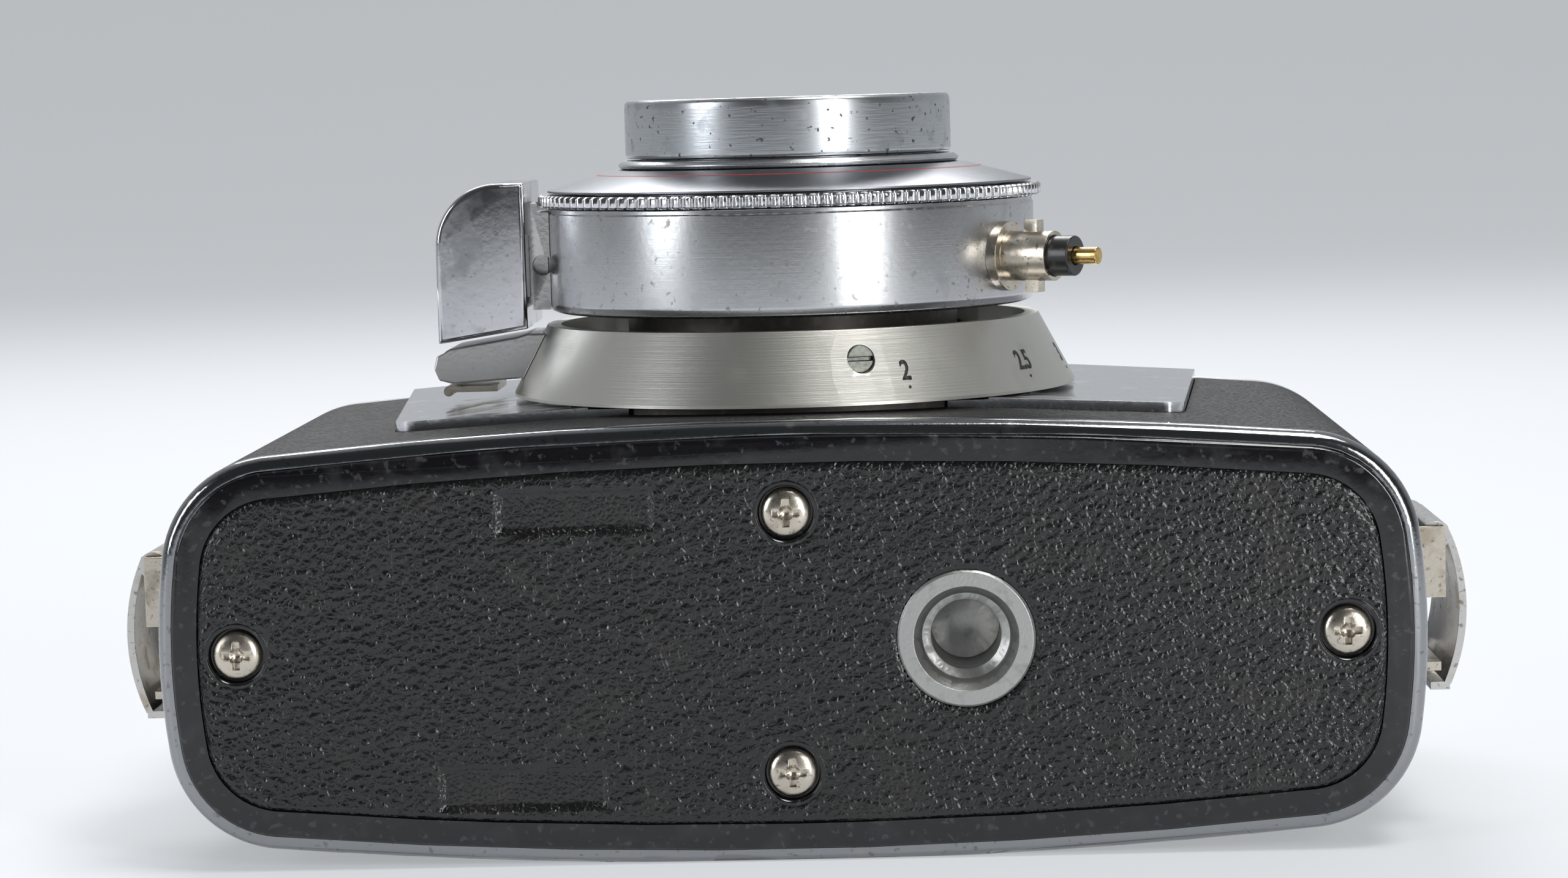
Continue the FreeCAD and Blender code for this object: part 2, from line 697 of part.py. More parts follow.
def rear_cell():
    outer = TUBE_R - TUBE_WALL - GAP
    return pipe(11.0, outer, 38.0, 47.0)


def rear_element():
    return glass(11.0 - GAP, 41.0, 45.0, 1.4, 0.6)


def shutter_leaf(index):
    """A thin sector that covers a third of the port and swings out about its pivot."""
    z = LEAF_Z + LEAF_PITCH * index
    lift = V(0, 0, LEAF_T)
    points = [V(0, 0, z)]
    for step in range(23):
        angle = math.radians(-6 + 132 * step / 22)
        points.append(V(LEAF_R * math.cos(angle), LEAF_R * math.sin(angle), z))
    sector = prism(points, lift)
    arm = prism([V(5, -0.9, z), V(LEAF_PIVOT_R, -1.6, z), V(LEAF_PIVOT_R, 1.6, z), V(5, 5.5, z)], lift)
    eye = rod_z(PIVOT_EYE_R, z, z + LEAF_T, LEAF_PIVOT_R, 0)
    return turned_to(fuse_all([sector, arm, eye]), 120.0 * index + 90.0)


def iris_blade(index):
    """A thin crescent that swings in over the port."""
    z = BLADE_Z + LEAF_PITCH * index
    ring = pipe(BLADE_IN_R, BLADE_OUT_R, z, z + LEAF_T)
    wedge = [V(0, 0, z - 1)]
    for step in range(12):
        angle = math.radians(-8 + (BLADE_SPAN + 8) * step / 11)
        wedge.append(V(30 * math.cos(angle), 30 * math.sin(angle), z - 1))
    blade = ring.common(prism(wedge, V(0, 0, 3)))
    return turned_to(blade, 72.0 * index)


def release_bracket():
    """Lug that joins the release housing to the drum."""
    web = block(BRACKET_X0, -21.5, BLOCK_Y0 + 0.5, BLOCK_Y1 - 3, 48.9, DRUM_Z1 - 0.2)
    tab = block(BRACKET_X0, BRACKET_X0 + 1.0, BLOCK_Y0 + 0.5, BLOCK_Y1 - 3, 48.9, 59.2)
    pad = block(BLOCK_X1 + 0.02, BRACKET_X0, -2.0, 4.0, 50.0, 56.0)
    lug = fuse_all([web, tab, pad])
    hole = rod_y(1.0, BLOCK_Y0, BLOCK_Y0 + 2.5, BRACKET_X0 + 1.0, 53.2)
    return cut_all(lug, [rod_z(DRUM_R + GAP, 40, 60), rod_z(KNURL_R + CLEAR, DRUM_Z1 - 0.3, 60), hole])


def release_housing():
    """Polished block beside the drum that guides the release button."""
    y = BLOCK_Y0
    low_out, low_in = 45.8, 47.1
    outline = [V(BLOCK_X0, y, low_out), V(BLOCK_X1, y, low_in), V(BLOCK_X1, y, BLOCK_Z1), V(BLOCK_X0, y, BLOCK_Z1)]
    solid = prism(outline, V(0, BLOCK_Y1 - BLOCK_Y0, 0))
    solid = rounded(
        solid, BLOCK_CORNER_R,
        lambda edge: runs_along(edge, Y_AXIS) and edge.BoundBox.XMax < BLOCK_X0 + 0.1 and edge.BoundBox.ZMin > 60)
    solid = rounded(solid, 0.5, outer_edges_at(BLOCK_Y0))
    guide = rod_y(BUTTON_R + RUN, BLOCK_Y0 + 4.0, BLOCK_Y1 + 1, BUTTON_X, BUTTON_Z)
    tapped = rod_y(CABLE_R, BLOCK_Y1 - CABLE_DEPTH, BLOCK_Y1 + 1, BUTTON_X, 49.6)
    return cut_all(solid, [guide, tapped])


def release_button():
    low = BLOCK_Y0 + 4.0 + BUTTON_TRAVEL + 1.5
    stem = rod_y(BUTTON_R, low, BLOCK_Y1 + BUTTON_PROUD, BUTTON_X, BUTTON_Z)
    return rounded(stem, 0.6, outer_edges_at(BLOCK_Y1 + BUTTON_PROUD))


def release_spring():
    """Coil spring under the button."""
    y0 = BLOCK_Y0 + 4.0
    y1 = y0 + BUTTON_TRAVEL + 1.5
    wire_r, coil_r = 0.25, 1.6
    height = y1 - y0 - 2 * wire_r - 0.1
    helix = Part.makeHelix(height / 4, height, coil_r)
    start = helix.Edges[0]
    section = Part.makeCircle(wire_r, V(coil_r, 0, 0), start.tangentAt(start.FirstParameter))
    coil = Part.Wire(helix.Edges).makePipe(Part.Face(Part.Wire(section)))
    return laid_on_y(coil, BUTTON_X, y0 + wire_r, BUTTON_Z)


# ---------------------------------------------------------------- flash post
def flash_post():
    post = rod_x(FLASH_R, 22.0, 29.2, 0, FLASH_Z)
    boss = rod_x(3.3, 22.0, 24.6, 0, FLASH_Z)
    lugs = block(26.3, 27.7, -0.7, 0.7, FLASH_Z - 3.4, FLASH_Z + 3.4)
    bore = rod_x(1.9 + GAP, 25.5, 30, 0, FLASH_Z)
    post = cut_all(fuse_all([post, boss, lugs]), [bore, rod_z(DRUM_R + 0.01, 40, 60)])
    return turned_to(post, FLASH_ANGLE)


def flash_insulator():
    sleeve = rod_x(1.9, 25.6, 31.4, 0, FLASH_Z).cut(rod_x(0.8 + GAP, 26.5, 32, 0, FLASH_Z))
    return turned_to(sleeve, FLASH_ANGLE)


def flash_contact():
    return turned_to(rod_x(0.8, 26.6, 33.8, 0, FLASH_Z), FLASH_ANGLE)


# ---------------------------------------------------------------- side latches
def lug_bracket():
    """Channel on the end of the body with a hinge pin at its front."""
    x0 = HALF_WIDTH + SKIN + GAP
    back = block(x0, x0 + LUG_T, LUG_Y0, LUG_Y1, LUG_Z0, LUG_Z1)
    cheeks = [
        block(x0, LUG_X1 - 0.4, LUG_Y0, LUG_Y1, z, z + LUG_T) for z in (LUG_Z0, LUG_Z1 - LUG_T)
    ]
    tabs = [
        block(x0, LUG_X1, y, y + LUG_T, LUG_Z1 - 4.0, PIN_Z + 0.9)
        for y in (LUG_Y0 - LUG_T, LUG_Y1)
    ]
    pin = rod_y(PIN_R, LUG_Y0 - LUG_T, LUG_Y1 + LUG_T, PIN_X, PIN_Z)
    return fuse_all([back] + cheeks + tabs + [pin])


def latch_bow():
    """Bowed strip that hangs on the pin and hooks round the channel at the back."""
    y0, y1 = LUG_Y0 + 0.15, LUG_Y1 - 0.15
    high_x, low_x = PIN_X + 0.75, PIN_X + 0.9
    outer = Part.Arc(V(high_x + 0.3, y0, PIN_Z + 0.9), V(BOW_X, y0, MID_Z), V(low_x + 0.3, y0, HOOK_Z))
    inner = Part.Arc(V(low_x - 0.4, y0, HOOK_Z), V(BOW_X - BOW_T, y0, MID_Z), V(high_x - 0.1, y0, PIN_Z + 0.4))
    ends = [
        Part.makeLine(V(low_x + 0.3, y0, HOOK_Z), V(low_x - 0.4, y0, HOOK_Z)),
        Part.makeLine(V(high_x - 0.1, y0, PIN_Z + 0.4), V(high_x + 0.3, y0, PIN_Z + 0.9)),
    ]
    wire = Part.Wire([outer.toShape(), ends[0], inner.toShape(), ends[1]])
    strip = Part.Face(wire).extrude(V(0, y1 - y0, 0))
    knuckle = rod_y(KNUCKLE_R, y0, y1, PIN_X, PIN_Z)
    hook = block(HOOK_X, low_x + 0.2, y0, y1, HOOK_Z - BOW_T + 0.2, HOOK_Z + 0.2)
    return fuse_all([strip, knuckle, hook]).cut(rod_y(PIN_R + RUN, y0 - 1, y1 + 1, PIN_X, PIN_Z))


def mirrored(shape):
    return shape.mirror(V(0, 0, 0), X_AXIS)


# ---------------------------------------------------------------- top and finder
EYE_X = 12.0
FINDER_WINDOW = (4.0, 20.0, 1.6, 7.4)    # x0, x1 and heights above the top plate
RANGE_X = -15.0
WINDOW_R = 3.2
EYE_RING_R = 4.3
EYE_GLASS_R = 2.9
EYE_RING_PROUD = 1.6
EYE_HEIGHT = 4.5
ARM_PIVOT_X = -19.0


def top_plate():
    plate = dressed(slab(SKIN, BODY_TOP_Y, TOP_Y))
    tools = [
        rod_y(SHAFT_R + RUN, BODY_TOP_Y - 1, TOP_Y + 1, CHAMBER_X, CHAMBER_Z),
        rod_y(SLEEVE_R + RUN, BODY_TOP_Y - 1, TOP_Y + 1, -CHAMBER_X, CHAMBER_Z),
        rod_y(SHAFT_R + RUN, BODY_TOP_Y - 1, TOP_Y + 1, SPROCKET_X, SPROCKET_Z),
        rod_y(COUNTER_R + 0.2, BODY_TOP_Y + 1.6, TOP_Y + 1, SPROCKET_X, SPROCKET_Z),
    ]
    rim = slab(SKIN, BODY_TOP_Y, TOP_Y)
    rim = rounded(rim, 1.2, outer_edges_at(TOP_Y))
    return cut_all(plate.common(rim), tools)


def finder_shell(inset):
    """The finder hump, grown inwards by an inset, with its end notch for the counter."""
    y1 = TOP_Y + FINDER_H - inset
    y0 = TOP_Y if inset == 0 else TOP_Y - 1
    hump = block(FINDER_X0 + inset, FINDER_X1 - inset, y0, y1, FINDER_Z0 + inset, FINDER_Z1 - inset)
    hump = rounded(hump, 3.0 - inset, lambda edge: runs_along(edge, Y_AXIS))
    return rounded(hump, 1.0, outer_edges_at(y1)) if inset == 0 else hump


def finder_housing():
    shell = finder_shell(0).cut(finder_shell(FINDER_WALL))
    x0, x1, h0, h1 = FINDER_WINDOW
    eye_y = TOP_Y + EYE_HEIGHT
    tools = [
        block(x0, x1, TOP_Y + h0, TOP_Y + h1, FINDER_Z1 - 3, FINDER_Z1 + 1),
        rod_z(WINDOW_R, FINDER_Z1 - 3, FINDER_Z1 + 1, RANGE_X, eye_y),
        rod_z(EYE_GLASS_R + 0.6, FINDER_Z0 - 1, FINDER_Z0 + 3, EYE_X, eye_y),
    ]
    notch = rod_y(COUNTER_R + 1.0, TOP_Y - 1, TOP_Y + FINDER_H + 1, SPROCKET_X, SPROCKET_Z)
    collar = rod_y(COUNTER_R + 2.2, TOP_Y, TOP_Y + FINDER_H, SPROCKET_X, SPROCKET_Z)
    return shell.fuse(collar.common(finder_shell(0))).cut(tools + [notch])


def finder_window():
    x0, x1, h0, h1 = FINDER_WINDOW
    z1 = FINDER_Z1 - 0.3
    return block(x0 + GAP, x1 - GAP, TOP_Y + h0 + GAP, TOP_Y + h1 - GAP, z1 - 0.8, z1)


def rangefinder_window():
    z1 = FINDER_Z1 - 0.3
    return rod_z(WINDOW_R - GAP, z1 - 0.8, z1, RANGE_X, TOP_Y + EYE_HEIGHT)


def eyepiece_ring():
    y = TOP_Y + EYE_HEIGHT
    ring = rod_z(EYE_RING_R, FINDER_Z0 - EYE_RING_PROUD, FINDER_Z0 - GAP, EYE_X, y)
    return ring.cut(rod_z(EYE_GLASS_R, 0, FINDER_Z0 + 2, EYE_X, y))


def eyepiece_lens():
    y = TOP_Y + EYE_HEIGHT
    return rod_z(EYE_GLASS_R - GAP, FINDER_Z0 - 1.1, FINDER_Z0 + 0.6, EYE_X, y)


def beam_splitter():
    """Half-silvered plate at 45 degrees behind the finder window, on its foot."""
    y = TOP_Y + EYE_HEIGHT
    plate = Part.makeBox(8.0, 6.4, 1.0, V(-4.0, -3.2, -0.5))
    plate.rotate(V(0, 0, 0), Y_AXIS, 45)
    plate.translate(V(EYE_X, y, 20.0))
    foot = block(EYE_X - 2, EYE_X + 2, TOP_Y + 0.02, y - 3.0, 18.0, 22.0)
    return fuse_all([plate, foot])


def rangefinder_arm():
    """Pivoted arm with the moving mirror on it."""
    y = TOP_Y + 0.3
    eye = rod_y(2.0, y, y + 1.0, ARM_PIVOT_X, 20.0)
    arm = block(ARM_PIVOT_X, -6.0, y, y + 1.0, 18.8, 21.2)
    post = block(RANGE_X - 0.6, RANGE_X + 0.6, y, TOP_Y + 7.0, 17.6, 22.4)
    return fuse_all([eye, arm, post]).cut(rod_y(1.0 + RUN, y - 1, y + 3, ARM_PIVOT_X, 20.0))


def rangefinder_pivot():
    stud = rod_y(1.0, TOP_Y + 0.01, TOP_Y + 2.2, ARM_PIVOT_X, 20.0)
    head = rod_y(1.6, TOP_Y + 1.4, TOP_Y + 2.2, ARM_PIVOT_X, 20.0)
    return fuse_all([stud, head])


# ---------------------------------------------------------------- film transport
COUNTER_R = 5.2
COUNTER_T = 1.0
KNOB_SERRATIONS = 48


def knob(x, y0, height):
    """A serrated knob with a plain shoulder and a domed edge."""
    grip = star(KNOB_R, KNOB_R - 0.35, KNOB_SERRATIONS, 0.8, height - 1.2)
    skirt = rod_z(KNOB_R - 0.8, 0, 0.9)
    crown = turned([(0, height - 1.3), (KNOB_R - 0.5, height - 1.3), (KNOB_R - 1.3, height), (0, height)])
    return laid_on_y(fuse_all([skirt, grip, crown]), x, y0, CHAMBER_Z)


def wind_knob():
    """Winding knob and the spool shaft below it."""
    shaft = rod_y(SHAFT_R, CHAMBER_Y0 - 2.5, TOP_Y + 0.5, CHAMBER_X, CHAMBER_Z)
    return fuse_all([knob(CHAMBER_X, TOP_Y + CLEAR, KNOB_H), shaft])


def takeup_spool():
    """Slotted drum with two flanges, fixed on the winding shaft."""
    half = GATE_H / 2 + 1.0
    drum = rod_y(SPOOL_R, -half, half, CHAMBER_X, CHAMBER_Z)
    flanges = [
        rod_y(SPOOL_FLANGE_R, y, y + 1.2, CHAMBER_X, CHAMBER_Z) for y in (-half - 1.2, half)
    ]
    slot = block(CHAMBER_X - 7, CHAMBER_X + 7, -half + 3, half - 3, CHAMBER_Z - 4.2, CHAMBER_Z - 3.4)
    return fuse_all([drum] + flanges).cut([slot, rod_y(SHAFT_R + 0.005, -40, 40, CHAMBER_X, CHAMBER_Z)])


def sprocket():
    """Film sprocket: two toothed drums on one shaft that also turns the counter."""
    half = GATE_H / 2 + 0.4
    shaft = rod_y(SHAFT_R, -half - 3.0, TOP_Y - 1.0, SPROCKET_X, SPROCKET_Z)
    pieces = [shaft]
    for y in (-half, half - 4.5):
        pieces.append(rod_y(SPROCKET_R, y, y + 4.5, SPROCKET_X, SPROCKET_Z))
        row = y + 2.25
        for tooth in range(SPROCKET_TEETH):
            peg = block(SPROCKET_R - 0.5, SPROCKET_R + 0.6, row - 0.6, row + 0.6, -0.45, 0.45)
            peg.rotate(V(0, 0, 0), Y_AXIS, 360.0 * tooth / SPROCKET_TEETH + 22.5)
            peg.translate(V(SPROCKET_X, 0, SPROCKET_Z))
            pieces.append(peg)
    return fuse_all(pieces)


def counter_dial():
    """Frame-counter dial over the sprocket shaft."""
    y0 = TOP_Y - 0.9
    disc = rod_y(COUNTER_R, y0, y0 + COUNTER_T, SPROCKET_X, SPROCKET_Z)
    notches = []
    for step in range(40):
        notch = block(COUNTER_R - 0.6, COUNTER_R + 1, y0 - 1, y0 + 2, -0.1, 0.1)
        notch.rotate(V(0, 0, 0), Y_AXIS, 9.0 * step)
        notch.translate(V(SPROCKET_X, 0, SPROCKET_Z))
        notches.append(notch)
    return disc.cut(notches)


def rewind_sleeve():
    """Sliding bush in the top plate that lifts with the rewind knob."""
    bush = rod_y(SLEEVE_R, CHAMBER_Y1 + 0.5, TOP_Y + 0.6, -CHAMBER_X, CHAMBER_Z)
    return bush.cut(rod_y(SHAFT_R + RUN, 0, 60, -CHAMBER_X, CHAMBER_Z))


def rewind_knob():
    """Rewind knob, its shaft and the fork that drives the cassette's spool."""
    shaft = rod_y(SHAFT_R, CHAMBER_Y1 - 1.0, TOP_Y + 1.5, -CHAMBER_X, CHAMBER_Z)
    fork = rod_y(SHAFT_R - 0.1, CHAMBER_Y1 - 5.0, CHAMBER_Y1 - 0.5, -CHAMBER_X, CHAMBER_Z)
    flat = block(-CHAMBER_X - 0.6, -CHAMBER_X + 0.6, 0, 50, CHAMBER_Z - 3, CHAMBER_Z + 3)
    return fuse_all([knob(-CHAMBER_X, TOP_Y + 0.9, KNOB_H - 0.6), shaft, fork.common(flat)])


# ---------------------------------------------------------------- output
def pieces():
    made = {
        "base_plate": base_plate(), "base_border": base_border(),
        "base_grain_panel": base_grain_panel(), "tripod_bush": tripod_bush(),
        "base_screws": base_screws(), "body_casting": body_casting(), "film_gate": film_gate(),
        "front_covering": front_covering(), "front_plate": front_plate(),
        "back_cover": back_cover(), "back_covering": back_covering(),
        "pressure_plate": pressure_plate(), "pressure_springs": pressure_springs(),
        "helicoid_outer": helicoid_outer(), "helicoid_inner": helicoid_inner(),
        "focus_ring": focus_ring(), "focus_grub_screws": focus_grub_screws(),
        "focus_lever": focus_lever(), "infinity_catch": infinity_catch(),
        "shutter_housing": shutter_housing(), "speed_ring": speed_ring(),
        "faceplate": faceplate(), "aperture_ring": aperture_ring(), "lens_barrel": lens_barrel(),
        "lens_retaining_ring": lens_retaining_ring(), "front_element": front_element(),
        "rear_cell": rear_cell(), "rear_element": rear_element(),
        "release_bracket": release_bracket(), "release_housing": release_housing(),
        "release_button": release_button(), "release_spring": release_spring(),
        "flash_post": flash_post(), "flash_insulator": flash_insulator(),
        "flash_contact": flash_contact(),
        "right_lug_bracket": lug_bracket(), "right_latch_bow": latch_bow(),
        "left_lug_bracket": mirrored(lug_bracket()), "left_latch_bow": mirrored(latch_bow()),
        "top_plate": top_plate(), "finder_housing": finder_housing(),
        "finder_window": finder_window(), "rangefinder_window": rangefinder_window(),
        "eyepiece_ring": eyepiece_ring(), "eyepiece_lens": eyepiece_lens(),
        "beam_splitter": beam_splitter(), "rangefinder_arm": rangefinder_arm(),
        "rangefinder_pivot": rangefinder_pivot(), "wind_knob": wind_knob(),
        "takeup_spool": takeup_spool(), "sprocket": sprocket(), "counter_dial": counter_dial(),
        "rewind_sleeve": rewind_sleeve(), "rewind_knob": rewind_knob(),
    }
    for index in range(LEAF_COUNT):
        made["shutter_leaf_%d" % (index + 1)] = shutter_leaf(index)
    made["iris_blades"] = Part.makeCompound([iris_blade(index) for index in range(BLADE_COUNT)])
    return made


os.makedirs("parts", exist_ok=True)
for name, shape in pieces().items():
    shape.exportStep("parts/%s.step" % name)
    print(name, len(shape.Solids), round(shape.Volume, 2), shape.isValid())
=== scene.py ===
import json
import math

import bpy
import numpy as np
from mathutils import Matrix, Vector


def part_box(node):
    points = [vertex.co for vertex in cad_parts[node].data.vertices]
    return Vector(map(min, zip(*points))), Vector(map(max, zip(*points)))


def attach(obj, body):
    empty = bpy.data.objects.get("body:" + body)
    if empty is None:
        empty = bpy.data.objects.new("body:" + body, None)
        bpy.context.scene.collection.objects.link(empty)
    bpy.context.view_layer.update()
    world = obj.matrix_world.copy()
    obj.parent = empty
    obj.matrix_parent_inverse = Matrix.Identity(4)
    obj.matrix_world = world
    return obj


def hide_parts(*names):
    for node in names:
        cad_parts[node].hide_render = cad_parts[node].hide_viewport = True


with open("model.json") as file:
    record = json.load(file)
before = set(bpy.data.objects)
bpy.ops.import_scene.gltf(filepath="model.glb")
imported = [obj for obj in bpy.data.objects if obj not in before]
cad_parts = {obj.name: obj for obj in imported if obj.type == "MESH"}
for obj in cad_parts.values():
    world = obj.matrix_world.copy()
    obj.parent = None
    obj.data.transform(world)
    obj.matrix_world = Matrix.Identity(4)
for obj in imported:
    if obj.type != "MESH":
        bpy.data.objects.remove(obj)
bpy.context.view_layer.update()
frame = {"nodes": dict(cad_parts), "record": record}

MM = 0.001
NODES = frame["nodes"]
BODY_OF = {n: b for b, ns in frame["record"]["behaviour"]["bodies"].items() for n in ns}

# ---------------------------------------------------------------- places read from the frame
PANEL_LOW, PANEL_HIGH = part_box("base_grain_panel")
BUSH_LOW, BUSH_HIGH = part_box("tripod_bush")
RING_LOW, RING_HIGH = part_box("focus_ring")
DRUM_LOW, DRUM_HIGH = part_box("shutter_housing")
KNURL_LOW, KNURL_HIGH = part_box("speed_ring")
FACE_LOW, FACE_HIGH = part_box("faceplate")
BEAD_LOW, BEAD_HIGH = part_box("aperture_ring")
BARREL_LOW, BARREL_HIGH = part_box("lens_barrel")
MID_Z = (PANEL_LOW.z + PANEL_HIGH.z) / 2


# ---------------------------------------------------------------- mesh helpers
def mesh_from(name, verts, faces, smooth=True):
    """An object at the origin from an (n, 3) array of points and an (m, 4) array of quads."""
    mesh = bpy.data.meshes.new(name)
    mesh.from_pydata(verts.tolist(), [], [tuple(f) for f in faces.tolist()])
    mesh.polygons.foreach_set("use_smooth", np.full(len(mesh.polygons), smooth))
    mesh.validate()
    obj = bpy.data.objects.new(name, mesh)
    bpy.context.scene.collection.objects.link(obj)
    return obj


def grid_faces(rows, cols, wrap_cols=False, wrap_rows=False):
    """Quads over a rows by cols grid of points, closed on itself where it wraps."""
    r = np.arange(rows if wrap_rows else rows - 1)
    c = np.arange(cols if wrap_cols else cols - 1)
    r0, c0 = np.meshgrid(r, c, indexing="ij")
    r1, c1 = (r0 + 1) % rows, (c0 + 1) % cols
    quads = np.stack([r0 * cols + c0, r0 * cols + c1, r1 * cols + c1, r1 * cols + c0], -1)
    return quads.reshape(-1, 4)


def rounded_profile(points, radius=0.0, steps=4):
    """A closed profile with each corner replaced by a short arc: a quadratic curve between the
    points one radius from the corner along its two sides."""
    pts = np.array(points, float)
    if radius <= 0:
        return pts
    out = []
    for i, p in enumerate(pts):
        a, b = pts[i - 1] - p, pts[(i + 1) % len(pts)] - p
        la, lb = np.hypot(*a), np.hypot(*b)
        k = min(radius, 0.45 * la, 0.45 * lb)
        pa, pb = p + a / la * k, p + b / lb * k
        for t in np.linspace(0, 1, steps):
            out.append((1 - t) ** 2 * pa + 2 * t * (1 - t) * p + t * t * pb)
    return np.array(out)


def turned(name, profile, bevel=0.12 * MM, segments=192, axis=None, wave=None):
    """A closed ring: the rounded (radius, height) profile carried round the lens axis, or round a
    line along Y through axis = (x, z). wave(angle, radius, height) may change the radius."""
    prof = rounded_profile(profile, bevel)
    angle = np.linspace(0, 2 * math.pi, segments, endpoint=False)
    a, r = np.meshgrid(angle, prof[:, 0], indexing="ij")
    h = np.broadcast_to(prof[:, 1], a.shape)
    if wave is not None:
        r = wave(a, r, h)
    if axis is None:
        pts = np.stack([r * np.cos(a), r * np.sin(a), h], -1)
    else:
        pts = np.stack([axis[0] + r * np.cos(a), h, axis[1] + r * np.sin(a)], -1)
    obj = mesh_from(name, pts.reshape(-1, 3), grid_faces(segments, len(prof), True, True))
    return outward(obj)


def outward(obj):
    """Turn the faces of a closed mesh so that they point outwards."""
    import bmesh
    bm = bmesh.new()
    bm.from_mesh(obj.data)
    bmesh.ops.recalc_face_normals(bm, faces=bm.faces)
    bm.to_mesh(obj.data)
    bm.free()
    obj.data.set_sharp_from_angle(angle=math.radians(38))
    return obj


def stand_in(obj, node, material, *more):
    """The piece takes the place, body and finish of one CAD node."""
    obj.data.materials.clear()
    obj.data.materials.append(material)
    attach(obj, BODY_OF[node])
    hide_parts(node, *more)
    return obj


def added(obj, body, material):
    obj.data.materials.clear()
    obj.data.materials.append(material)
    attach(obj, body)
    return obj


def dress_node(node, material, bevel=0.0, angle=32):
    """A CAD node's own shape, with its points merged, smooth shading between its edges, and the
    edges softened by a bevel."""
    import bmesh
    mesh = NODES[node].data.copy()
    obj = bpy.data.objects.new(node + "_finish", mesh)
    bpy.context.scene.collection.objects.link(obj)
    bm = bmesh.new()
    bm.from_mesh(mesh)
    bmesh.ops.remove_doubles(bm, verts=bm.verts, dist=1e-7)
    limit = math.radians(1.0)
    bmesh.ops.dissolve_limit(bm, angle_limit=limit, verts=bm.verts, edges=bm.edges)
    bm.to_mesh(mesh)
    bm.free()
    mesh.polygons.foreach_set("use_smooth", np.full(len(mesh.polygons), True))
    mesh.set_sharp_from_angle(angle=math.radians(angle))
    if bevel:
        mod = obj.modifiers.new("edges", "BEVEL")
        mod.width = bevel
        mod.segments = 2
        mod.limit_method = "ANGLE"
        mod.angle_limit = math.radians(35)
        mod.harden_normals = True
    return stand_in(obj, node, material)


# ---------------------------------------------------------------- shader node groups
def new_group(name, inputs, outputs):
    """An empty node group with float inputs, given as {name: value}, and named outputs."""
    group = bpy.data.node_groups.new(name, "ShaderNodeTree")
    for key, value in inputs.items():
        sock = group.interface.new_socket(key, in_out="INPUT", socket_type="NodeSocketFloat")
        sock.default_value = value
    for key in outputs:
        group.interface.new_socket(key, in_out="OUTPUT", socket_type="NodeSocketFloat")
    return group, group.nodes.new("NodeGroupInput"), group.nodes.new("NodeGroupOutput")


def math_node(tree, operation, a, b=None, clamp=False):
    node = tree.nodes.new("ShaderNodeMath")
    node.operation = operation
    node.use_clamp = clamp
    for i, value in enumerate((a, b)):
        if value is None:
            continue
        if isinstance(value, (int, float)):
            node.inputs[i].default_value = value
        else:
            tree.links.new(value, node.inputs[i])
    return node.outputs[0]


def object_coords(tree):
    return tree.nodes.new("ShaderNodeTexCoord").outputs["Object"]


def speckle_group():
    """Blotches: noise in object space, cut between Low and High to a 0 to 1 mask."""
    group, gi, go = new_group("speckle", {"Scale": 800.0, "Low": 0.5, "High": 0.6, "Detail": 4.0}, ["Mask"])
    noise = group.nodes.new("ShaderNodeTexNoise")
    group.links.new(object_coords(group), noise.inputs["Vector"])
    group.links.new(gi.outputs["Scale"], noise.inputs["Scale"])
    group.links.new(gi.outputs["Detail"], noise.inputs["Detail"])
    cut = group.nodes.new("ShaderNodeMapRange")
    group.links.new(noise.outputs["Fac"], cut.inputs["Value"])
    group.links.new(gi.outputs["Low"], cut.inputs["From Min"])
    group.links.new(gi.outputs["High"], cut.inputs["From Max"])
    group.links.new(cut.outputs["Result"], go.inputs["Mask"])
    return group


def lathe_group():
    """Turning marks: noise that changes fast along the lens axis and with radius, and hardly at
    all round the axis."""
    group, gi, go = new_group("lathe", {"Along": 9000.0, "Across": 9000.0, "Around": 1.0}, ["Height"])
    split = group.nodes.new("ShaderNodeSeparateXYZ")
    group.links.new(object_coords(group), split.inputs[0])
    x, y, z = split.outputs
    radius = math_node(group, "SQRT", math_node(
        group, "ADD", math_node(group, "MULTIPLY", x, x), math_node(group, "MULTIPLY", y, y)))
    turn = math_node(group, "ARCTAN2", y, x)
    join = group.nodes.new("ShaderNodeCombineXYZ")
    group.links.new(math_node(group, "MULTIPLY", z, gi.outputs["Along"]), join.inputs[0])
    group.links.new(math_node(group, "MULTIPLY", radius, gi.outputs["Across"]), join.inputs[1])
    group.links.new(math_node(group, "MULTIPLY", turn, gi.outputs["Around"]), join.inputs[2])
    noise = group.nodes.new("ShaderNodeTexNoise")
    noise.inputs["Scale"].default_value = 1.0
    noise.inputs["Detail"].default_value = 3.0
    group.links.new(join.outputs[0], noise.inputs["Vector"])
    group.links.new(noise.outputs["Fac"], go.inputs["Height"])
    return group


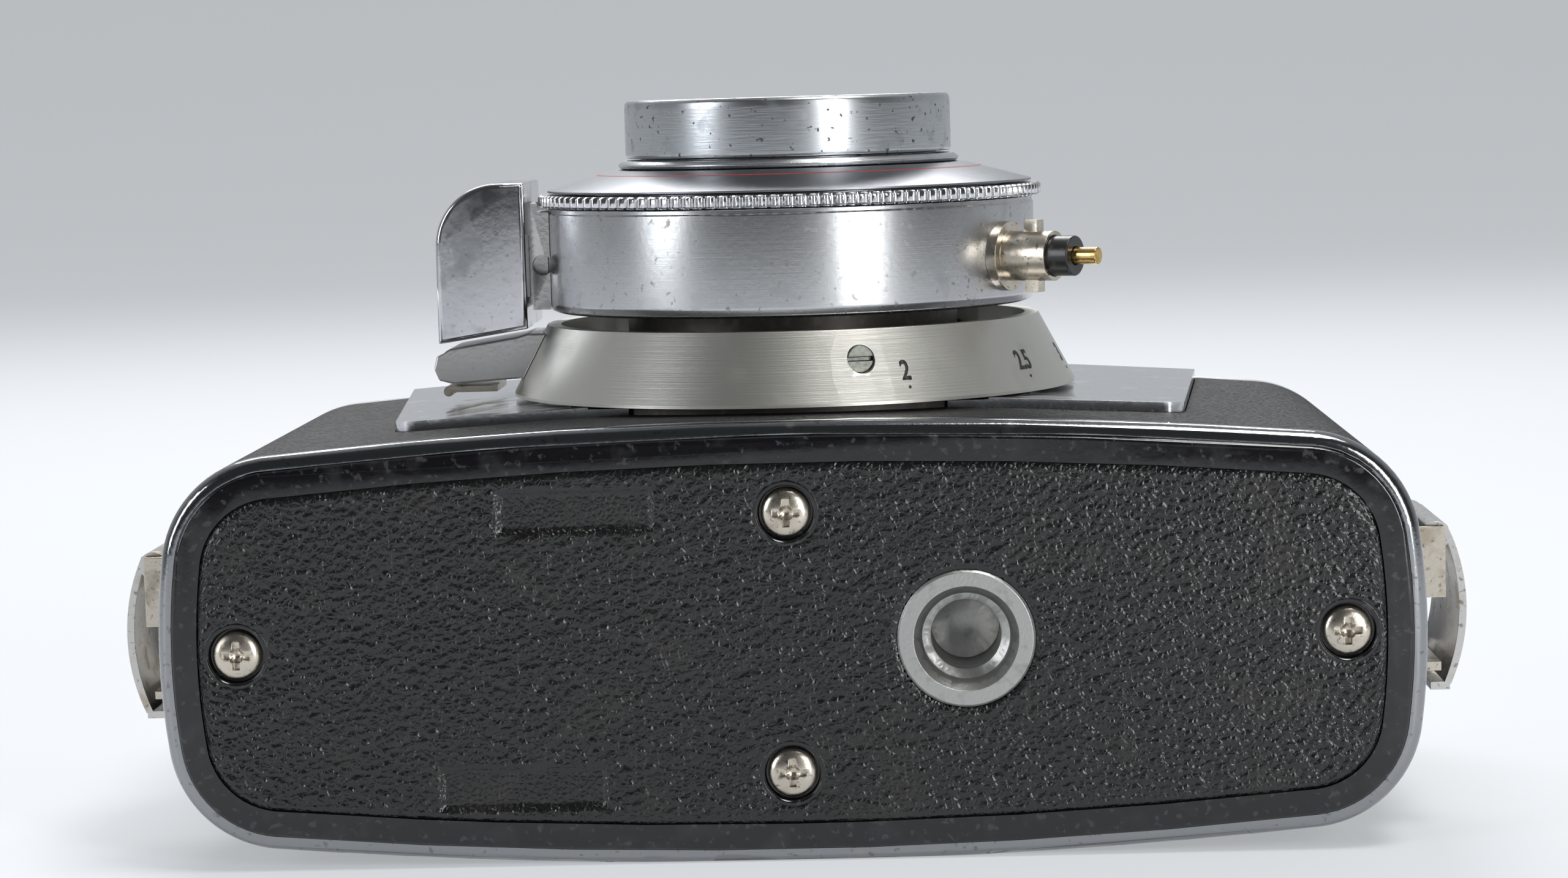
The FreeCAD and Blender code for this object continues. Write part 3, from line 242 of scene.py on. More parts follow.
def leather_group():
    """Embossed grain: the walls between Voronoi cells, with a little noise on top."""
    group, gi, go = new_group("leather", {"Scale": 1300.0, "Wrinkle": 0.35}, ["Height", "Cell"])
    warp = group.nodes.new("ShaderNodeTexNoise")
    warp.inputs["Scale"].default_value = 600.0
    coords = object_coords(group)
    group.links.new(coords, warp.inputs["Vector"])
    mix = group.nodes.new("ShaderNodeVectorMath")
    mix.operation = "MULTIPLY_ADD"
    group.links.new(warp.outputs["Color"], mix.inputs[0])
    mix.inputs[1].default_value = (0.0006, 0.0006, 0.0006)
    group.links.new(coords, mix.inputs[2])
    cells = group.nodes.new("ShaderNodeTexVoronoi")
    cells.feature = "DISTANCE_TO_EDGE"
    group.links.new(mix.outputs[0], cells.inputs["Vector"])
    group.links.new(gi.outputs["Scale"], cells.inputs["Scale"])
    fine = group.nodes.new("ShaderNodeTexNoise")
    fine.inputs["Scale"].default_value = 3500.0
    group.links.new(coords, fine.inputs["Vector"])
    dome = math_node(group, "MULTIPLY", cells.outputs["Distance"], 3.0, clamp=True)
    rough = math_node(group, "MULTIPLY", fine.outputs["Fac"], gi.outputs["Wrinkle"])
    group.links.new(math_node(group, "ADD", dome, rough), go.inputs["Height"])
    group.links.new(dome, go.inputs["Cell"])
    return group


SPECKLE, LATHE, LEATHER = speckle_group(), lathe_group(), leather_group()


# ---------------------------------------------------------------- materials
class Finish:
    """A material being made: a Principled shader with a colour that masks are mixed into."""

    def __init__(self, name, color, rough, metal=0.0, **plain):
        self.mat = bpy.data.materials.new(name)
        self.mat.use_nodes = True
        self.tree = self.mat.node_tree
        self.shader = self.tree.nodes["Principled BSDF"]
        self.color = None
        self.rough = None
        self.height = None
        self.shader.inputs["Base Color"].default_value = (*color, 1)
        self.shader.inputs["Roughness"].default_value = rough
        self.shader.inputs["Metallic"].default_value = metal
        for key, value in plain.items():
            self.shader.inputs[key.replace("_", " ")].default_value = value
        self.base, self.base_rough = color, rough

    def group(self, tree, **values):
        node = self.tree.nodes.new("ShaderNodeGroup")
        node.node_tree = tree
        for key, value in values.items():
            node.inputs[key].default_value = value
        return node

    def stain(self, mask, color, amount=1.0, rough=None):
        """Mix a colour, and a roughness, in where the mask is 1."""
        fac = math_node(self.tree, "MULTIPLY", mask, amount)
        mix = self.tree.nodes.new("ShaderNodeMix")
        mix.data_type = "RGBA"
        self.tree.links.new(fac, mix.inputs["Factor"])
        if self.color is None:
            mix.inputs["A"].default_value = (*self.base, 1)
        else:
            self.tree.links.new(self.color, mix.inputs["A"])
        mix.inputs["B"].default_value = (*color, 1)
        self.color = mix.outputs["Result"]
        self.tree.links.new(self.color, self.shader.inputs["Base Color"])
        if rough is not None:
            mr = self.tree.nodes.new("ShaderNodeMix")
            self.tree.links.new(fac, mr.inputs[0])
            mr.inputs[2].default_value = self.base_rough
            if self.rough is not None:
                self.tree.links.new(self.rough, mr.inputs[2])
            mr.inputs[3].default_value = rough
            self.rough = mr.outputs[0]
            self.tree.links.new(self.rough, self.shader.inputs["Roughness"])
        return self

    def blotch(self, scale, low, high, color, amount=1.0, rough=None):
        node = self.group(SPECKLE, Scale=scale, Low=low, High=high)
        return self.stain(node.outputs["Mask"], color, amount, rough)

    def bump(self, height, strength, depth):
        node = self.tree.nodes.new("ShaderNodeBump")
        node.inputs["Strength"].default_value = strength
        node.inputs["Distance"].default_value = depth
        self.tree.links.new(height, node.inputs["Height"])
        if self.height is not None:
            self.tree.links.new(self.height, node.inputs["Normal"])
        self.height = node.outputs["Normal"]
        self.tree.links.new(self.height, self.shader.inputs["Normal"])
        return self

    def lathe(self, strength, depth=0.00001, along=9000.0, across=9000.0, around=1.0):
        node = self.group(LATHE, Along=along, Across=across, Around=around)
        return self.bump(node.outputs["Height"], strength, depth)

    def pitted(self, scale, strength, depth=0.00003):
        node = self.group(SPECKLE, Scale=scale, Low=0.3, High=0.7)
        return self.bump(node.outputs["Mask"], strength, depth)


def make_materials():
    m = {}
    # The dark grey base colour of this polished metal is a painted reflection: the rim is tinted darker than
    # the metal is, to stand in for the dark surroundings it mirrors.
    f = Finish("polished_rim", (0.30, 0.31, 0.32), 0.13, 1.0)
    f.blotch(260, 0.60, 0.72, (0.34, 0.33, 0.31), 0.7, 0.3).blotch(1500, 0.62, 0.70, (0.12, 0.12, 0.12), 0.6)
    m["polished_rim"] = f.pitted(2500, 0.12).mat
    f = Finish("black_lacquer", (0.004, 0.004, 0.005), 0.16, 0.0, Coat_Weight=0.25, Coat_Roughness=0.1)
    f.blotch(420, 0.52, 0.72, (0.016, 0.016, 0.017), 0.9, 0.30)
    f.blotch(1300, 0.60, 0.66, (0.055, 0.055, 0.055), 0.5, 0.4)
    m["black_lacquer"] = f.pitted(1400, 0.18).mat
    f = Finish("grained_panel", (0.0045, 0.0045, 0.0045), 0.26, 0.0, Coat_Weight=0.3, Coat_Roughness=0.12)
    f.blotch(170, 0.55, 0.75, (0.013, 0.012, 0.011), 0.8, 0.36)
    f.blotch(2600, 0.66, 0.72, (0.06, 0.06, 0.06), 0.4)
    g = f.group(LEATHER, Scale=1900.0, Wrinkle=0.5)
    m["grained_panel"] = f.bump(g.outputs["Height"], 0.55, 0.00008).mat
    f = Finish("body_covering", (0.010, 0.010, 0.011), 0.58, 0.0, Specular_IOR_Level=0.3)
    g = f.group(LEATHER, Scale=1250.0, Wrinkle=0.4)
    f.stain(g.outputs["Cell"], (0.018, 0.018, 0.019), 0.7)
    f.blotch(150, 0.5, 0.75, (0.025, 0.024, 0.023), 0.4, 0.5)
    m["body_covering"] = f.bump(g.outputs["Height"], 0.9, 0.00020).mat
    f = Finish("machined_metal", (0.46, 0.46, 0.45), 0.42, 1.0)
    f.blotch(900, 0.55, 0.72, (0.30, 0.30, 0.29), 0.7, 0.5)
    m["machined_metal"] = f.pitted(3200, 0.3).mat
    f = Finish("nickel", (0.60, 0.55, 0.47), 0.27, 1.0)
    f.blotch(500, 0.55, 0.70, (0.36, 0.31, 0.24), 0.7, 0.45).blotch(2400, 0.60, 0.68, (0.14, 0.12, 0.09), 0.7)
    m["nickel"] = f.pitted(2600, 0.15).mat
    f = Finish("bow_metal", (0.58, 0.57, 0.55), 0.20, 1.0)
    f.blotch(330, 0.54, 0.66, (0.50, 0.40, 0.28), 0.6, 0.4).blotch(1900, 0.60, 0.68, (0.15, 0.13, 0.11), 0.7)
    m["bow_metal"] = f.pitted(2200, 0.12).mat
    f = Finish("cast_alloy", (0.60, 0.60, 0.59), 0.33, 1.0)
    f.blotch(700, 0.60, 0.72, (0.34, 0.34, 0.33), 0.6, 0.5)
    m["cast_alloy"] = f.pitted(2400, 0.35).mat
    f = Finish("polished_metal", (0.60, 0.61, 0.63), 0.12, 1.0)
    f.blotch(300, 0.52, 0.68, (0.42, 0.43, 0.45), 0.8, 0.30).blotch(1500, 0.60, 0.70, (0.24, 0.24, 0.25), 0.5)
    m["polished_metal"] = f.pitted(1100, 0.10).mat
    f = Finish("satin_aluminium", (0.60, 0.595, 0.555), 0.36, 1.0)
    f.blotch(260, 0.55, 0.75, (0.50, 0.49, 0.45), 0.6, 0.44)
    m["satin_aluminium"] = f.lathe(0.55, 0.00002, 14000.0, 14000.0, 1.5).mat
    f = Finish("turned_aluminium", (0.52, 0.53, 0.54), 0.27, 1.0)
    f.blotch(380, 0.55, 0.70, (0.38, 0.40, 0.42), 0.55, 0.34)
    f.blotch(1300, 0.63, 0.70, (0.20, 0.20, 0.20), 0.7, 0.5)
    m["turned_aluminium"] = f.lathe(0.35, 0.00001, 9000.0, 9000.0, 2.0).pitted(1900, 0.10).mat
    f = Finish("barrel_aluminium", (0.46, 0.48, 0.50), 0.28, 1.0)
    f.blotch(520, 0.55, 0.66, (0.33, 0.35, 0.38), 0.7, 0.4)
    f.blotch(1500, 0.64, 0.68, (0.08, 0.08, 0.08), 0.9, 0.6)
    m["barrel_aluminium"] = f.lathe(0.6, 0.00002, 6000.0, 6000.0, 6.0).mat
    f = Finish("knurled_metal", (0.66, 0.67, 0.69), 0.17, 1.0)
    m["knurled_metal"] = f.blotch(1200, 0.56, 0.70, (0.22, 0.22, 0.22), 0.7, 0.4).pitted(2600, 0.1).mat
    f = Finish("scale_plate", (0.26, 0.27, 0.29), 0.33, 1.0)
    f.blotch(350, 0.52, 0.68, (0.22, 0.23, 0.25), 0.6, 0.42)
    m["scale_plate"] = f.lathe(0.3, 0.00001, 9000.0, 9000.0, 1.0).mat
    f = Finish("dark_metal", (0.075, 0.068, 0.060), 0.45, 0.6)
    m["dark_metal"] = f.blotch(900, 0.5, 0.7, (0.16, 0.14, 0.12), 0.6).lathe(0.4).mat
    f = Finish("grub_steel", (0.16, 0.16, 0.15), 0.42, 1.0)
    m["grub_steel"] = f.blotch(1600, 0.45, 0.62, (0.30, 0.34, 0.28), 0.6, 0.5).pitted(3000, 0.4).mat
    f = Finish("black_paint", (0.012, 0.012, 0.013), 0.42, 0.0)
    m["black_paint"] = f.blotch(900, 0.6, 0.75, (0.04, 0.04, 0.04), 0.6).pitted(3000, 0.1).mat
    f = Finish("black_plastic", (0.014, 0.014, 0.014), 0.28, 0.0)
    m["black_plastic"] = f.blotch(1500, 0.55, 0.70, (0.05, 0.045, 0.04), 0.6, 0.5).mat
    f = Finish("brass", (0.66, 0.46, 0.18), 0.24, 1.0)
    m["brass"] = f.blotch(1800, 0.5, 0.66, (0.34, 0.21, 0.08), 0.7, 0.4).mat
    f = Finish("top_metal", (0.58, 0.59, 0.60), 0.30, 1.0)
    f.blotch(300, 0.55, 0.72, (0.46, 0.47, 0.48), 0.6, 0.38)
    m["top_metal"] = f.pitted(2600, 0.22).mat
    f = Finish("leaf_steel", (0.05, 0.05, 0.055), 0.4, 0.8)
    m["leaf_steel"] = f.blotch(900, 0.5, 0.7, (0.09, 0.09, 0.09), 0.6).mat
    f = Finish("spring_steel", (0.5, 0.5, 0.5), 0.3, 1.0)
    m["spring_steel"] = f.blotch(900, 0.5, 0.7, (0.3, 0.3, 0.3), 0.6).mat
    f = Finish("counter_face", (0.62, 0.62, 0.62), 0.4, 1.0)
    m["counter_face"] = f.blotch(900, 0.5, 0.7, (0.5, 0.5, 0.5), 0.6).mat
    f = Finish("coated_glass", (0.80, 0.78, 0.95), 0.03, 0.0, Transmission_Weight=1.0, IOR=1.52)
    m["coated_glass"] = f.pitted(200, 0.01).mat
    f = Finish("clear_glass", (0.92, 0.95, 0.97), 0.04, 0.0, Transmission_Weight=1.0, IOR=1.5)
    m["clear_glass"] = f.pitted(200, 0.01).mat
    f = Finish("engraving", (0.012, 0.012, 0.012), 0.5, 0.0)
    m["engraving"] = f.blotch(2500, 0.62, 0.72, (0.10, 0.10, 0.09), 0.6).mat
    f = Finish("red_line", (0.33, 0.03, 0.03), 0.45, 0.0)
    m["red_line"] = f.blotch(1500, 0.58, 0.70, (0.16, 0.10, 0.10), 0.7).mat
    return m


MAT = make_materials()

# ---------------------------------------------------------------- turned parts of the lens
CONE_BAND = 0.3 * MM
RING_R0 = RING_HIGH.x
RING_R1 = 24.0 * MM
DRUM_R = DRUM_HIGH.y
DRUM_TOP = KNURL_LOW.z - 0.1 * MM
KNURL_COUNT = 126
BARREL_R = BARREL_HIGH.x
BARREL_BORE = BARREL_R - 1.2 * MM
NECK_R = 14.4 * MM
TUBE_BORE = 14.0 * MM


def cone_r(z):
    low = RING_LOW.z + CONE_BAND
    return RING_R0 + (RING_R1 - RING_R0) * (z - low) / (RING_HIGH.z - low)


def make_drum():
    """Drum wall with a rounded foot and a fine groove under the speed ring."""
    z0, z1 = DRUM_LOW.z, DRUM_TOP
    inner = DRUM_R - 1.5 * MM
    shoulder, port = 20.95 * MM, 8.0 * MM
    profile = [
        (port, z0), (DRUM_R - 0.9 * MM, z0), (DRUM_R - 0.25 * MM, z0 + 0.25 * MM),
        (DRUM_R, z0 + 0.9 * MM), (DRUM_R, z1 - 0.55 * MM), (DRUM_R - 0.12 * MM, z1 - 0.4 * MM),
        (DRUM_R - 0.12 * MM, z1), (shoulder, z1), (shoulder, DRUM_HIGH.z), (19.5 * MM, DRUM_HIGH.z),
        (19.5 * MM, z1 - 1.4 * MM), (inner, z1 - 1.4 * MM), (inner, z0 + 2.5 * MM), (port, z0 + 2.5 * MM),
    ]
    stand_in(turned("drum_shell", profile, 0.12 * MM, 256), "shutter_housing", MAT["turned_aluminium"])


def make_speed_ring():
    """Straight knurl: the rim's radius is a rounded square wave of the angle, with soft edges."""
    z0, z1 = KNURL_LOW.z, KNURL_HIGH.z
    r = KNURL_HIGH.x
    depth, edge = 0.42 * MM, 0.3 * MM

    def knurl(a, radius, h):
        tooth = 0.5 + 0.5 * np.tanh(2.4 * np.cos(KNURL_COUNT * a))
        return np.where(radius > r - edge, radius - depth * (1 - tooth), radius)

    bore = 21.05 * MM
    profile = [
        (bore, z0), (r - 0.42 * MM, z0), (r - 0.25 * MM, z0 + 0.02 * MM), (r, z0 + 0.22 * MM),
        (r, z1 - 0.22 * MM), (r - 0.25 * MM, z1 - 0.02 * MM), (r - 0.45 * MM, z1), (bore, z1),
    ]
    ring = turned("knurled_ring", profile, 0.0, KNURL_COUNT * 10, None, knurl)
    stand_in(ring, "speed_ring", MAT["knurled_metal"])


def make_front_rings():
    """Scale plate, its red line, the bead ring and the plain barrel."""
    bore = NECK_R + 0.05 * MM
    z0, z1 = FACE_LOW.z, FACE_HIGH.z
    r0, r1 = FACE_HIGH.x, 17.2 * MM
    cone = [(bore, z0), (r0, z0), (r0, z0 + 0.2 * MM), (r1, z1), (bore, z1)]
    stand_in(turned("scale_cone", cone, 0.08 * MM, 256), "faceplate", MAT["scale_plate"])
    line_r, half = 18.73 * MM, 0.13 * MM
    slope = (z1 - z0 - 0.2 * MM) / (r0 - r1)
    at = [z1 - (line_r + s * half - r1) * slope + 0.012 * MM for s in (-1, 1)]
    inner, outer, sunk = line_r - half, line_r + half, 0.06 * MM
    ribbon = [(inner, at[0]), (outer, at[1]), (outer, at[1] - sunk), (inner, at[0] - sunk)]
    added(turned("scale_red_line", ribbon, 0.0, 256), "lens_unit", MAT["red_line"])
    r = BEAD_HIGH.x
    z0, z1 = BEAD_LOW.z, BEAD_HIGH.z
    bead = [
        (bore, z0), (r - 0.25 * MM, z0), (r, z0 + 0.3 * MM), (r, z1 - 0.4 * MM),
        (r - 0.5 * MM, z1), (bore, z1),
    ]
    stand_in(turned("bead_ring", bead, 0.18 * MM, 256), "aperture_ring", MAT["turned_aluminium"])
    z2 = BEAD_HIGH.z + 0.2 * MM
    top, seat = BARREL_HIGH.z, 65.0 * MM
    profile = [
        (12.6 * MM, BARREL_LOW.z), (NECK_R, BARREL_LOW.z), (NECK_R, z2), (BARREL_R - 0.1 * MM, z2),
        (BARREL_R, z2 + 0.3 * MM), (BARREL_R, top - 0.8 * MM), (BARREL_R - 0.06 * MM, top - 0.3 * MM),
        (BARREL_R - 0.35 * MM, top), (BARREL_BORE + 0.25 * MM, top), (BARREL_BORE, top - 0.4 * MM),
        (BARREL_BORE, seat), (12.6 * MM, seat),
    ]
    stand_in(turned("barrel_rim", profile, 0.12 * MM, 256), "lens_barrel", MAT["barrel_aluminium"])
    low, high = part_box("helicoid_inner")
    tube = [(TUBE_BORE, low.z), (high.x, low.z), (high.x, high.z), (TUBE_BORE, high.z)]
    stand_in(turned("sliding_tube", tube, 0.1 * MM), "helicoid_inner", MAT["dark_metal"])


# ---------------------------------------------------------------- engraved numerals
NUMERALS = [
    (-65.0, "2"), (-32.0, "2.5"), (-8.5, "3"), (11.0, "3.5"), (27.0, "4"), (44.0, "5"), (57.0, "6"),
    (74.0, "8"), (89.0, "12"), (101.0, "25"),
]
NUMERAL_H = 1.75 * MM
NUMERAL_Z = RING_LOW.z + 2.15 * MM
DOT_Z = RING_LOW.z + 1.45 * MM


def text_mesh(word, height):
    """A flat word as mesh data, centred on x, standing on y = 0."""
    curve = bpy.data.curves.new("word", "FONT")
    curve.body = word
    curve.size = height / 0.70
    curve.align_x = "CENTER"
    curve.extrude = 0.0
    curve.offset = 0.035 * height
    curve.resolution_u = 6
    holder = bpy.data.objects.new("word", curve)
    bpy.context.scene.collection.objects.link(holder)
    mesh = bpy.data.meshes.new_from_object(holder.evaluated_get(bpy.context.evaluated_depsgraph_get()))
    bpy.data.objects.remove(holder)
    return mesh


def wrap(mesh, surface):
    """Put the points (u, v) of a flat mesh on a surface."""
    pts = np.zeros(len(mesh.vertices) * 3)
    mesh.vertices.foreach_get("co", pts)
    pts = pts.reshape(-1, 3)
    mesh.vertices.foreach_set("co", surface(pts[:, 0], pts[:, 1], pts[:, 2]).ravel())
    mesh.update()


def make_numerals():
    """Distance numerals and their dots, filled black, wrapped round the cone: a point's angle is
    its u over the radius, and its height follows v."""
    for index, (degrees, word) in enumerate(NUMERALS):
        centre = math.radians(degrees)
        mesh = text_mesh(word, NUMERAL_H)

        def on_cone(u, v, w):
            z = NUMERAL_Z + v * 0.97
            r = cone_r(z) + 0.03 * MM
            a = centre + u * 0.78 / r
            return np.stack([r * np.cos(a), r * np.sin(a), z], -1)

        wrap(mesh, on_cone)
        obj = bpy.data.objects.new("numeral_%02d" % index, mesh)
        bpy.context.scene.collection.objects.link(obj)
        thicken(obj, 0.03 * MM)
        added(obj, "focus", MAT["engraving"])
        angle = np.linspace(0, 2 * math.pi, 16, endpoint=False)
        u = np.concatenate([[0], 0.14 * MM * np.cos(angle)])
        v = np.concatenate([[0], 0.14 * MM * np.sin(angle)])
        z = DOT_Z + v
        r = cone_r(z) + 0.03 * MM
        a = centre + 0.004 + u / r
        pts = np.stack([r * np.cos(a), r * np.sin(a), z], -1)
        fan = [(0, 1 + k, 1 + (k + 1) % 16) for k in range(16)]
        dot = bpy.data.meshes.new("dot")
        dot.from_pydata(pts.tolist(), [], fan)
        dot_obj = bpy.data.objects.new("numeral_dot_%02d" % index, dot)
        bpy.context.scene.collection.objects.link(dot_obj)
        thicken(dot_obj, 0.03 * MM)
        added(dot_obj, "focus", MAT["engraving"])


def thicken(obj, depth):
    """Give a thin sheet a closed wall on its inner side."""
    mod = obj.modifiers.new("wall", "SOLIDIFY")
    mod.thickness = depth
    mod.offset = -1.0


# ---------------------------------------------------------------- base
SIDE_R, END_R, CORNER_R = 520.0 * MM, 63.0 * MM, 9.2 * MM
HALF_W, HALF_D = 56.0 * MM, 18.8 * MM
BORDER_W = 2.45 * MM
FACE_Y = PANEL_LOW.y
SCREWS = [(-50.06 * MM, 0.0), (50.06 * MM, 0.0), (0.0, 11.8 * MM), (0.0, -11.8 * MM)]
COLLAR_R = 2.75 * MM
GRAIN_DEPTH = 0.20 * MM
BUSH_X = (BUSH_LOW.x + BUSH_HIGH.x) / 2
BUSH_Z = (BUSH_LOW.z + BUSH_HIGH.z) / 2
BUSH_R = (BUSH_HIGH.x - BUSH_LOW.x) / 2
PANEL_HOLES = [(x, z, COLLAR_R) for x, z in SCREWS] + [(BUSH_X, BUSH_Z - MID_Z, BUSH_R + 0.04 * MM)]
LABELS = [(-25.9, -12.05, 10.6, 14.2), (-31.8, -16.9, -14.5, -10.8)]


def corner_centre():
    """Where the corner arc's centre is: CORNER_R inside both the long arc and the end arc."""
    x, z = HALF_W - CORNER_R, HALF_D - CORNER_R
    for _ in range(60):
        z = HALF_D - SIDE_R + math.sqrt((SIDE_R - CORNER_R) ** 2 - x * x)
        x = HALF_W - END_R + math.sqrt((END_R - CORNER_R) ** 2 - z * z)
    return x, z


def outline_depth(x, z):
    """How far inside the base outline a point is: its depth inside the corner arc in that arc's
    sector, and elsewhere the lesser depth inside the long arc and the end arc."""
    x, z = np.abs(x), np.abs(z)
    side, end = np.array([0.0, HALF_D - SIDE_R]), np.array([HALF_W - END_R, 0.0])
    cx, cz = corner_centre()
    n_side, n_end = np.array([cx, cz]) - side, np.array([cx, cz]) - end
    px, pz = x - cx, z - cz
    sector = (n_end[0] * pz - n_end[1] * px > 0) & (px * n_side[1] - pz * n_side[0] > 0)
    from_side = SIDE_R - np.hypot(x - side[0], z - side[1])
    from_end = END_R - np.hypot(x - end[0], z - end[1])
    straight = np.minimum(from_side, from_end)
    return np.where(sector, CORNER_R - np.hypot(px, pz), straight)


def hashed(ix, iz, salt):
    """A repeatable number from 0 to 1 for each whole-number cell."""
    h = np.sin(ix * 127.1 + iz * 311.7 + salt * 74.7) * 43758.5453
    return h - np.floor(h)


def pebbles(x, z, cell, stretch, lean):
    """Pebbled grain from 0 to 1: one point in each cell of a leaning, stretched lattice, and the
    height is how much nearer the first point is than the second."""
    c, s = math.cos(lean), math.sin(lean)
    u, v = (c * x + s * z) / cell, (-s * x + c * z) / (cell * stretch)
    iu, iv = np.floor(u), np.floor(v)
    first = np.full(x.shape, 9.0)
    second = np.full(x.shape, 9.0)
    for du in (-1, 0, 1):
        for dv in (-1, 0, 1):
            cu, cv = iu + du, iv + dv
            d = np.hypot(cu + hashed(cu, cv, 1.0) - u, cv + hashed(cu, cv, 2.0) - v)
            second = np.where(d < first, first, np.minimum(second, d))
            first = np.minimum(first, d)
    return np.clip((second - first) * 1.7, 0, 1) ** 0.7


def make_grain_panel():
    """Embossed panel: a sheet over the inset outline whose height is pebbled grain, smooth in the
    label recesses and round the screws and the bush."""
    step = 0.235 * MM
    nx = int(2 * PANEL_HIGH.x / step)
    nz = int((PANEL_HIGH.z - PANEL_LOW.z) / step)
    edge_x = PANEL_HIGH.x
    s = np.sin(np.linspace(-math.pi / 2, math.pi / 2, nx))
    x = edge_x * (0.75 * np.linspace(-1, 1, nx) + 0.25 * s)
    low, high = np.zeros(nx), np.full(nx, 0.03)
    for _ in range(40):
        mid = (low + high) / 2
        inside = outline_depth(x, mid) > BORDER_W
        low, high = np.where(inside, mid, low), np.where(inside, high, mid)
    gx = np.repeat(x[:, None], nz, 1)
    gz = low[:, None] * np.linspace(-1, 1, nz)[None, :]
    for hx, hz, hr in PANEL_HOLES:
        dx, dz = gx - hx, gz - hz
        d = np.hypot(dx, dz) + 1e-12
        near = np.abs(d - hr) < 0.62 * step
        gx, gz = np.where(near, hx + dx / d * hr, gx), np.where(near, hz + dz / d * hr, gz)
    cut = np.zeros(gx.shape, bool)
    calm = np.ones(gx.shape)
    for hx, hz, hr in PANEL_HOLES:
        d = np.hypot(gx - hx, gz - hz)
        cut |= d < hr - 0.2 * step
        calm *= np.clip((d - hr) / (0.35 * MM), 0, 1)
    sunk = np.zeros(gx.shape)
    for x0, x1, z0, z1 in LABELS:
        across = np.minimum(gx - x0 * MM, x1 * MM - gx)
        inside = np.minimum(across, np.minimum(gz - z0 * MM, z1 * MM - gz))
        hollow = np.clip(inside / (0.22 * MM), 0, 1)
        sunk = np.maximum(sunk, hollow)
        calm *= np.clip(-inside / (0.2 * MM), 0, 1) * 0.93 + 0.07
    grain = pebbles(gx, gz, 0.60 * MM, 1.25, 0.9) * 0.8
    grain = grain + pebbles(gx + 0.01, gz, 0.95 * MM, 1.2, 0.9) * 0.4
    edge = np.clip((outline_depth(gx, gz) - BORDER_W) / (0.5 * MM), 0, 1)
    raised = grain * calm * edge * GRAIN_DEPTH
    y = FACE_Y + 0.05 * MM - raised + sunk * 0.24 * MM + (1 - edge) * 0.10 * MM
    pts = np.stack([gx, y, gz + MID_Z], -1).reshape(-1, 3)
    faces = grid_faces(nx, nz)
    faces = faces[~cut.ravel()[faces].any(1)]
    used = np.unique(faces)
    remap = np.zeros(len(pts), int)
    remap[used] = np.arange(len(used))
    obj = mesh_from("grain_sheet", pts[used], remap[faces])
    stand_in(obj, "base_grain_panel", MAT["grained_panel"])
    for index, (hx, hz) in enumerate(SCREWS):
        make_collar(index, hx, hz)


def make_collar(index, hx, hz):
    """Smooth raised lip and deep wall round a screw head."""
    y = FACE_Y
    profile = [
        (1.2 * MM, y + 0.95 * MM), (2.45 * MM, y + 0.95 * MM), (2.52 * MM, y + 0.1 * MM),
        (2.68 * MM, y - 0.05 * MM), (2.98 * MM, y - 0.04 * MM), (3.12 * MM, y + 0.12 * MM),
        (3.12 * MM, y + 0.3 * MM), (2.8 * MM, y + 0.98 * MM), (1.2 * MM, y + 0.98 * MM),
    ]
    ring = turned("screw_collar_%d" % index, profile, 0.05 * MM, 64, (hx, hz + MID_Z))
    added(ring, "camera_body", MAT["black_lacquer"])


# ---------------------------------------------------------------- the CAD nodes' own shapes
DRESSED = [
    ("focus_ring", "satin_aluminium", 0.08),
    ("base_plate", "polished_rim", 0.0), ("base_border", "black_lacquer", 0.0),
    ("tripod_bush", "machined_metal", 0.05), ("base_screws", "nickel", 0.04),
    ("body_casting", "black_paint", 0.0), ("film_gate", "polished_metal", 0.0),
    ("front_covering", "body_covering", 0.0), ("front_plate", "polished_metal", 0.15),
    ("helicoid_outer", "dark_metal", 0.0), ("top_plate", "top_metal", 0.0),
    ("finder_housing", "top_metal", 0.0), ("finder_window", "clear_glass", 0.0),
    ("rangefinder_window", "clear_glass", 0.0), ("eyepiece_ring", "black_paint", 0.15),
    ("eyepiece_lens", "clear_glass", 0.0), ("beam_splitter", "clear_glass", 0.0),
    ("rangefinder_pivot", "brass", 0.0), ("right_lug_bracket", "nickel", 0.1),
    ("left_lug_bracket", "nickel", 0.1), ("back_cover", "polished_rim", 0.0),
    ("back_covering", "body_covering", 0.0), ("pressure_plate", "black_paint", 0.1),
    ("pressure_springs", "spring_steel", 0.0), ("lens_retaining_ring", "black_paint", 0.05),
    ("front_element", "coated_glass", 0.0), ("rear_cell", "black_paint", 0.0),
    ("rear_element", "coated_glass", 0.0), ("release_bracket", "cast_alloy", 0.15),
    ("release_housing", "polished_metal", 0.12), ("release_spring", "spring_steel", 0.0),
    ("flash_post", "nickel", 0.12), ("flash_insulator", "black_plastic", 0.15),
    ("flash_contact", "brass", 0.12), ("focus_grub_screws", "grub_steel", 0.08),
    ("focus_lever", "cast_alloy", 0.2), ("infinity_catch", "nickel", 0.1),
    ("release_button", "polished_metal", 0.0), ("wind_knob", "knurled_metal", 0.08),
    ("takeup_spool", "black_plastic", 0.0), ("sprocket", "machined_metal", 0.0),
    ("counter_dial", "counter_face", 0.0), ("rewind_sleeve", "machined_metal", 0.0),
    ("rewind_knob", "knurled_metal", 0.08), ("right_latch_bow", "bow_metal", 0.12),
    ("left_latch_bow", "bow_metal", 0.12), ("rangefinder_arm", "brass", 0.0),
    ("iris_blades", "leaf_steel", 0.0), ("shutter_leaf_1", "leaf_steel", 0.0),
    ("shutter_leaf_2", "leaf_steel", 0.0), ("shutter_leaf_3", "leaf_steel", 0.0),
]


# ---------------------------------------------------------------- studio
CAMERA_AT = (12.86 * MM, -374.96 * MM, 68.88 * MM)
CAMERA_YAW, CAMERA_PITCH, CAMERA_ROLL = -0.0375, 0.0894, -0.0284
CAMERA_LENS = 87.93


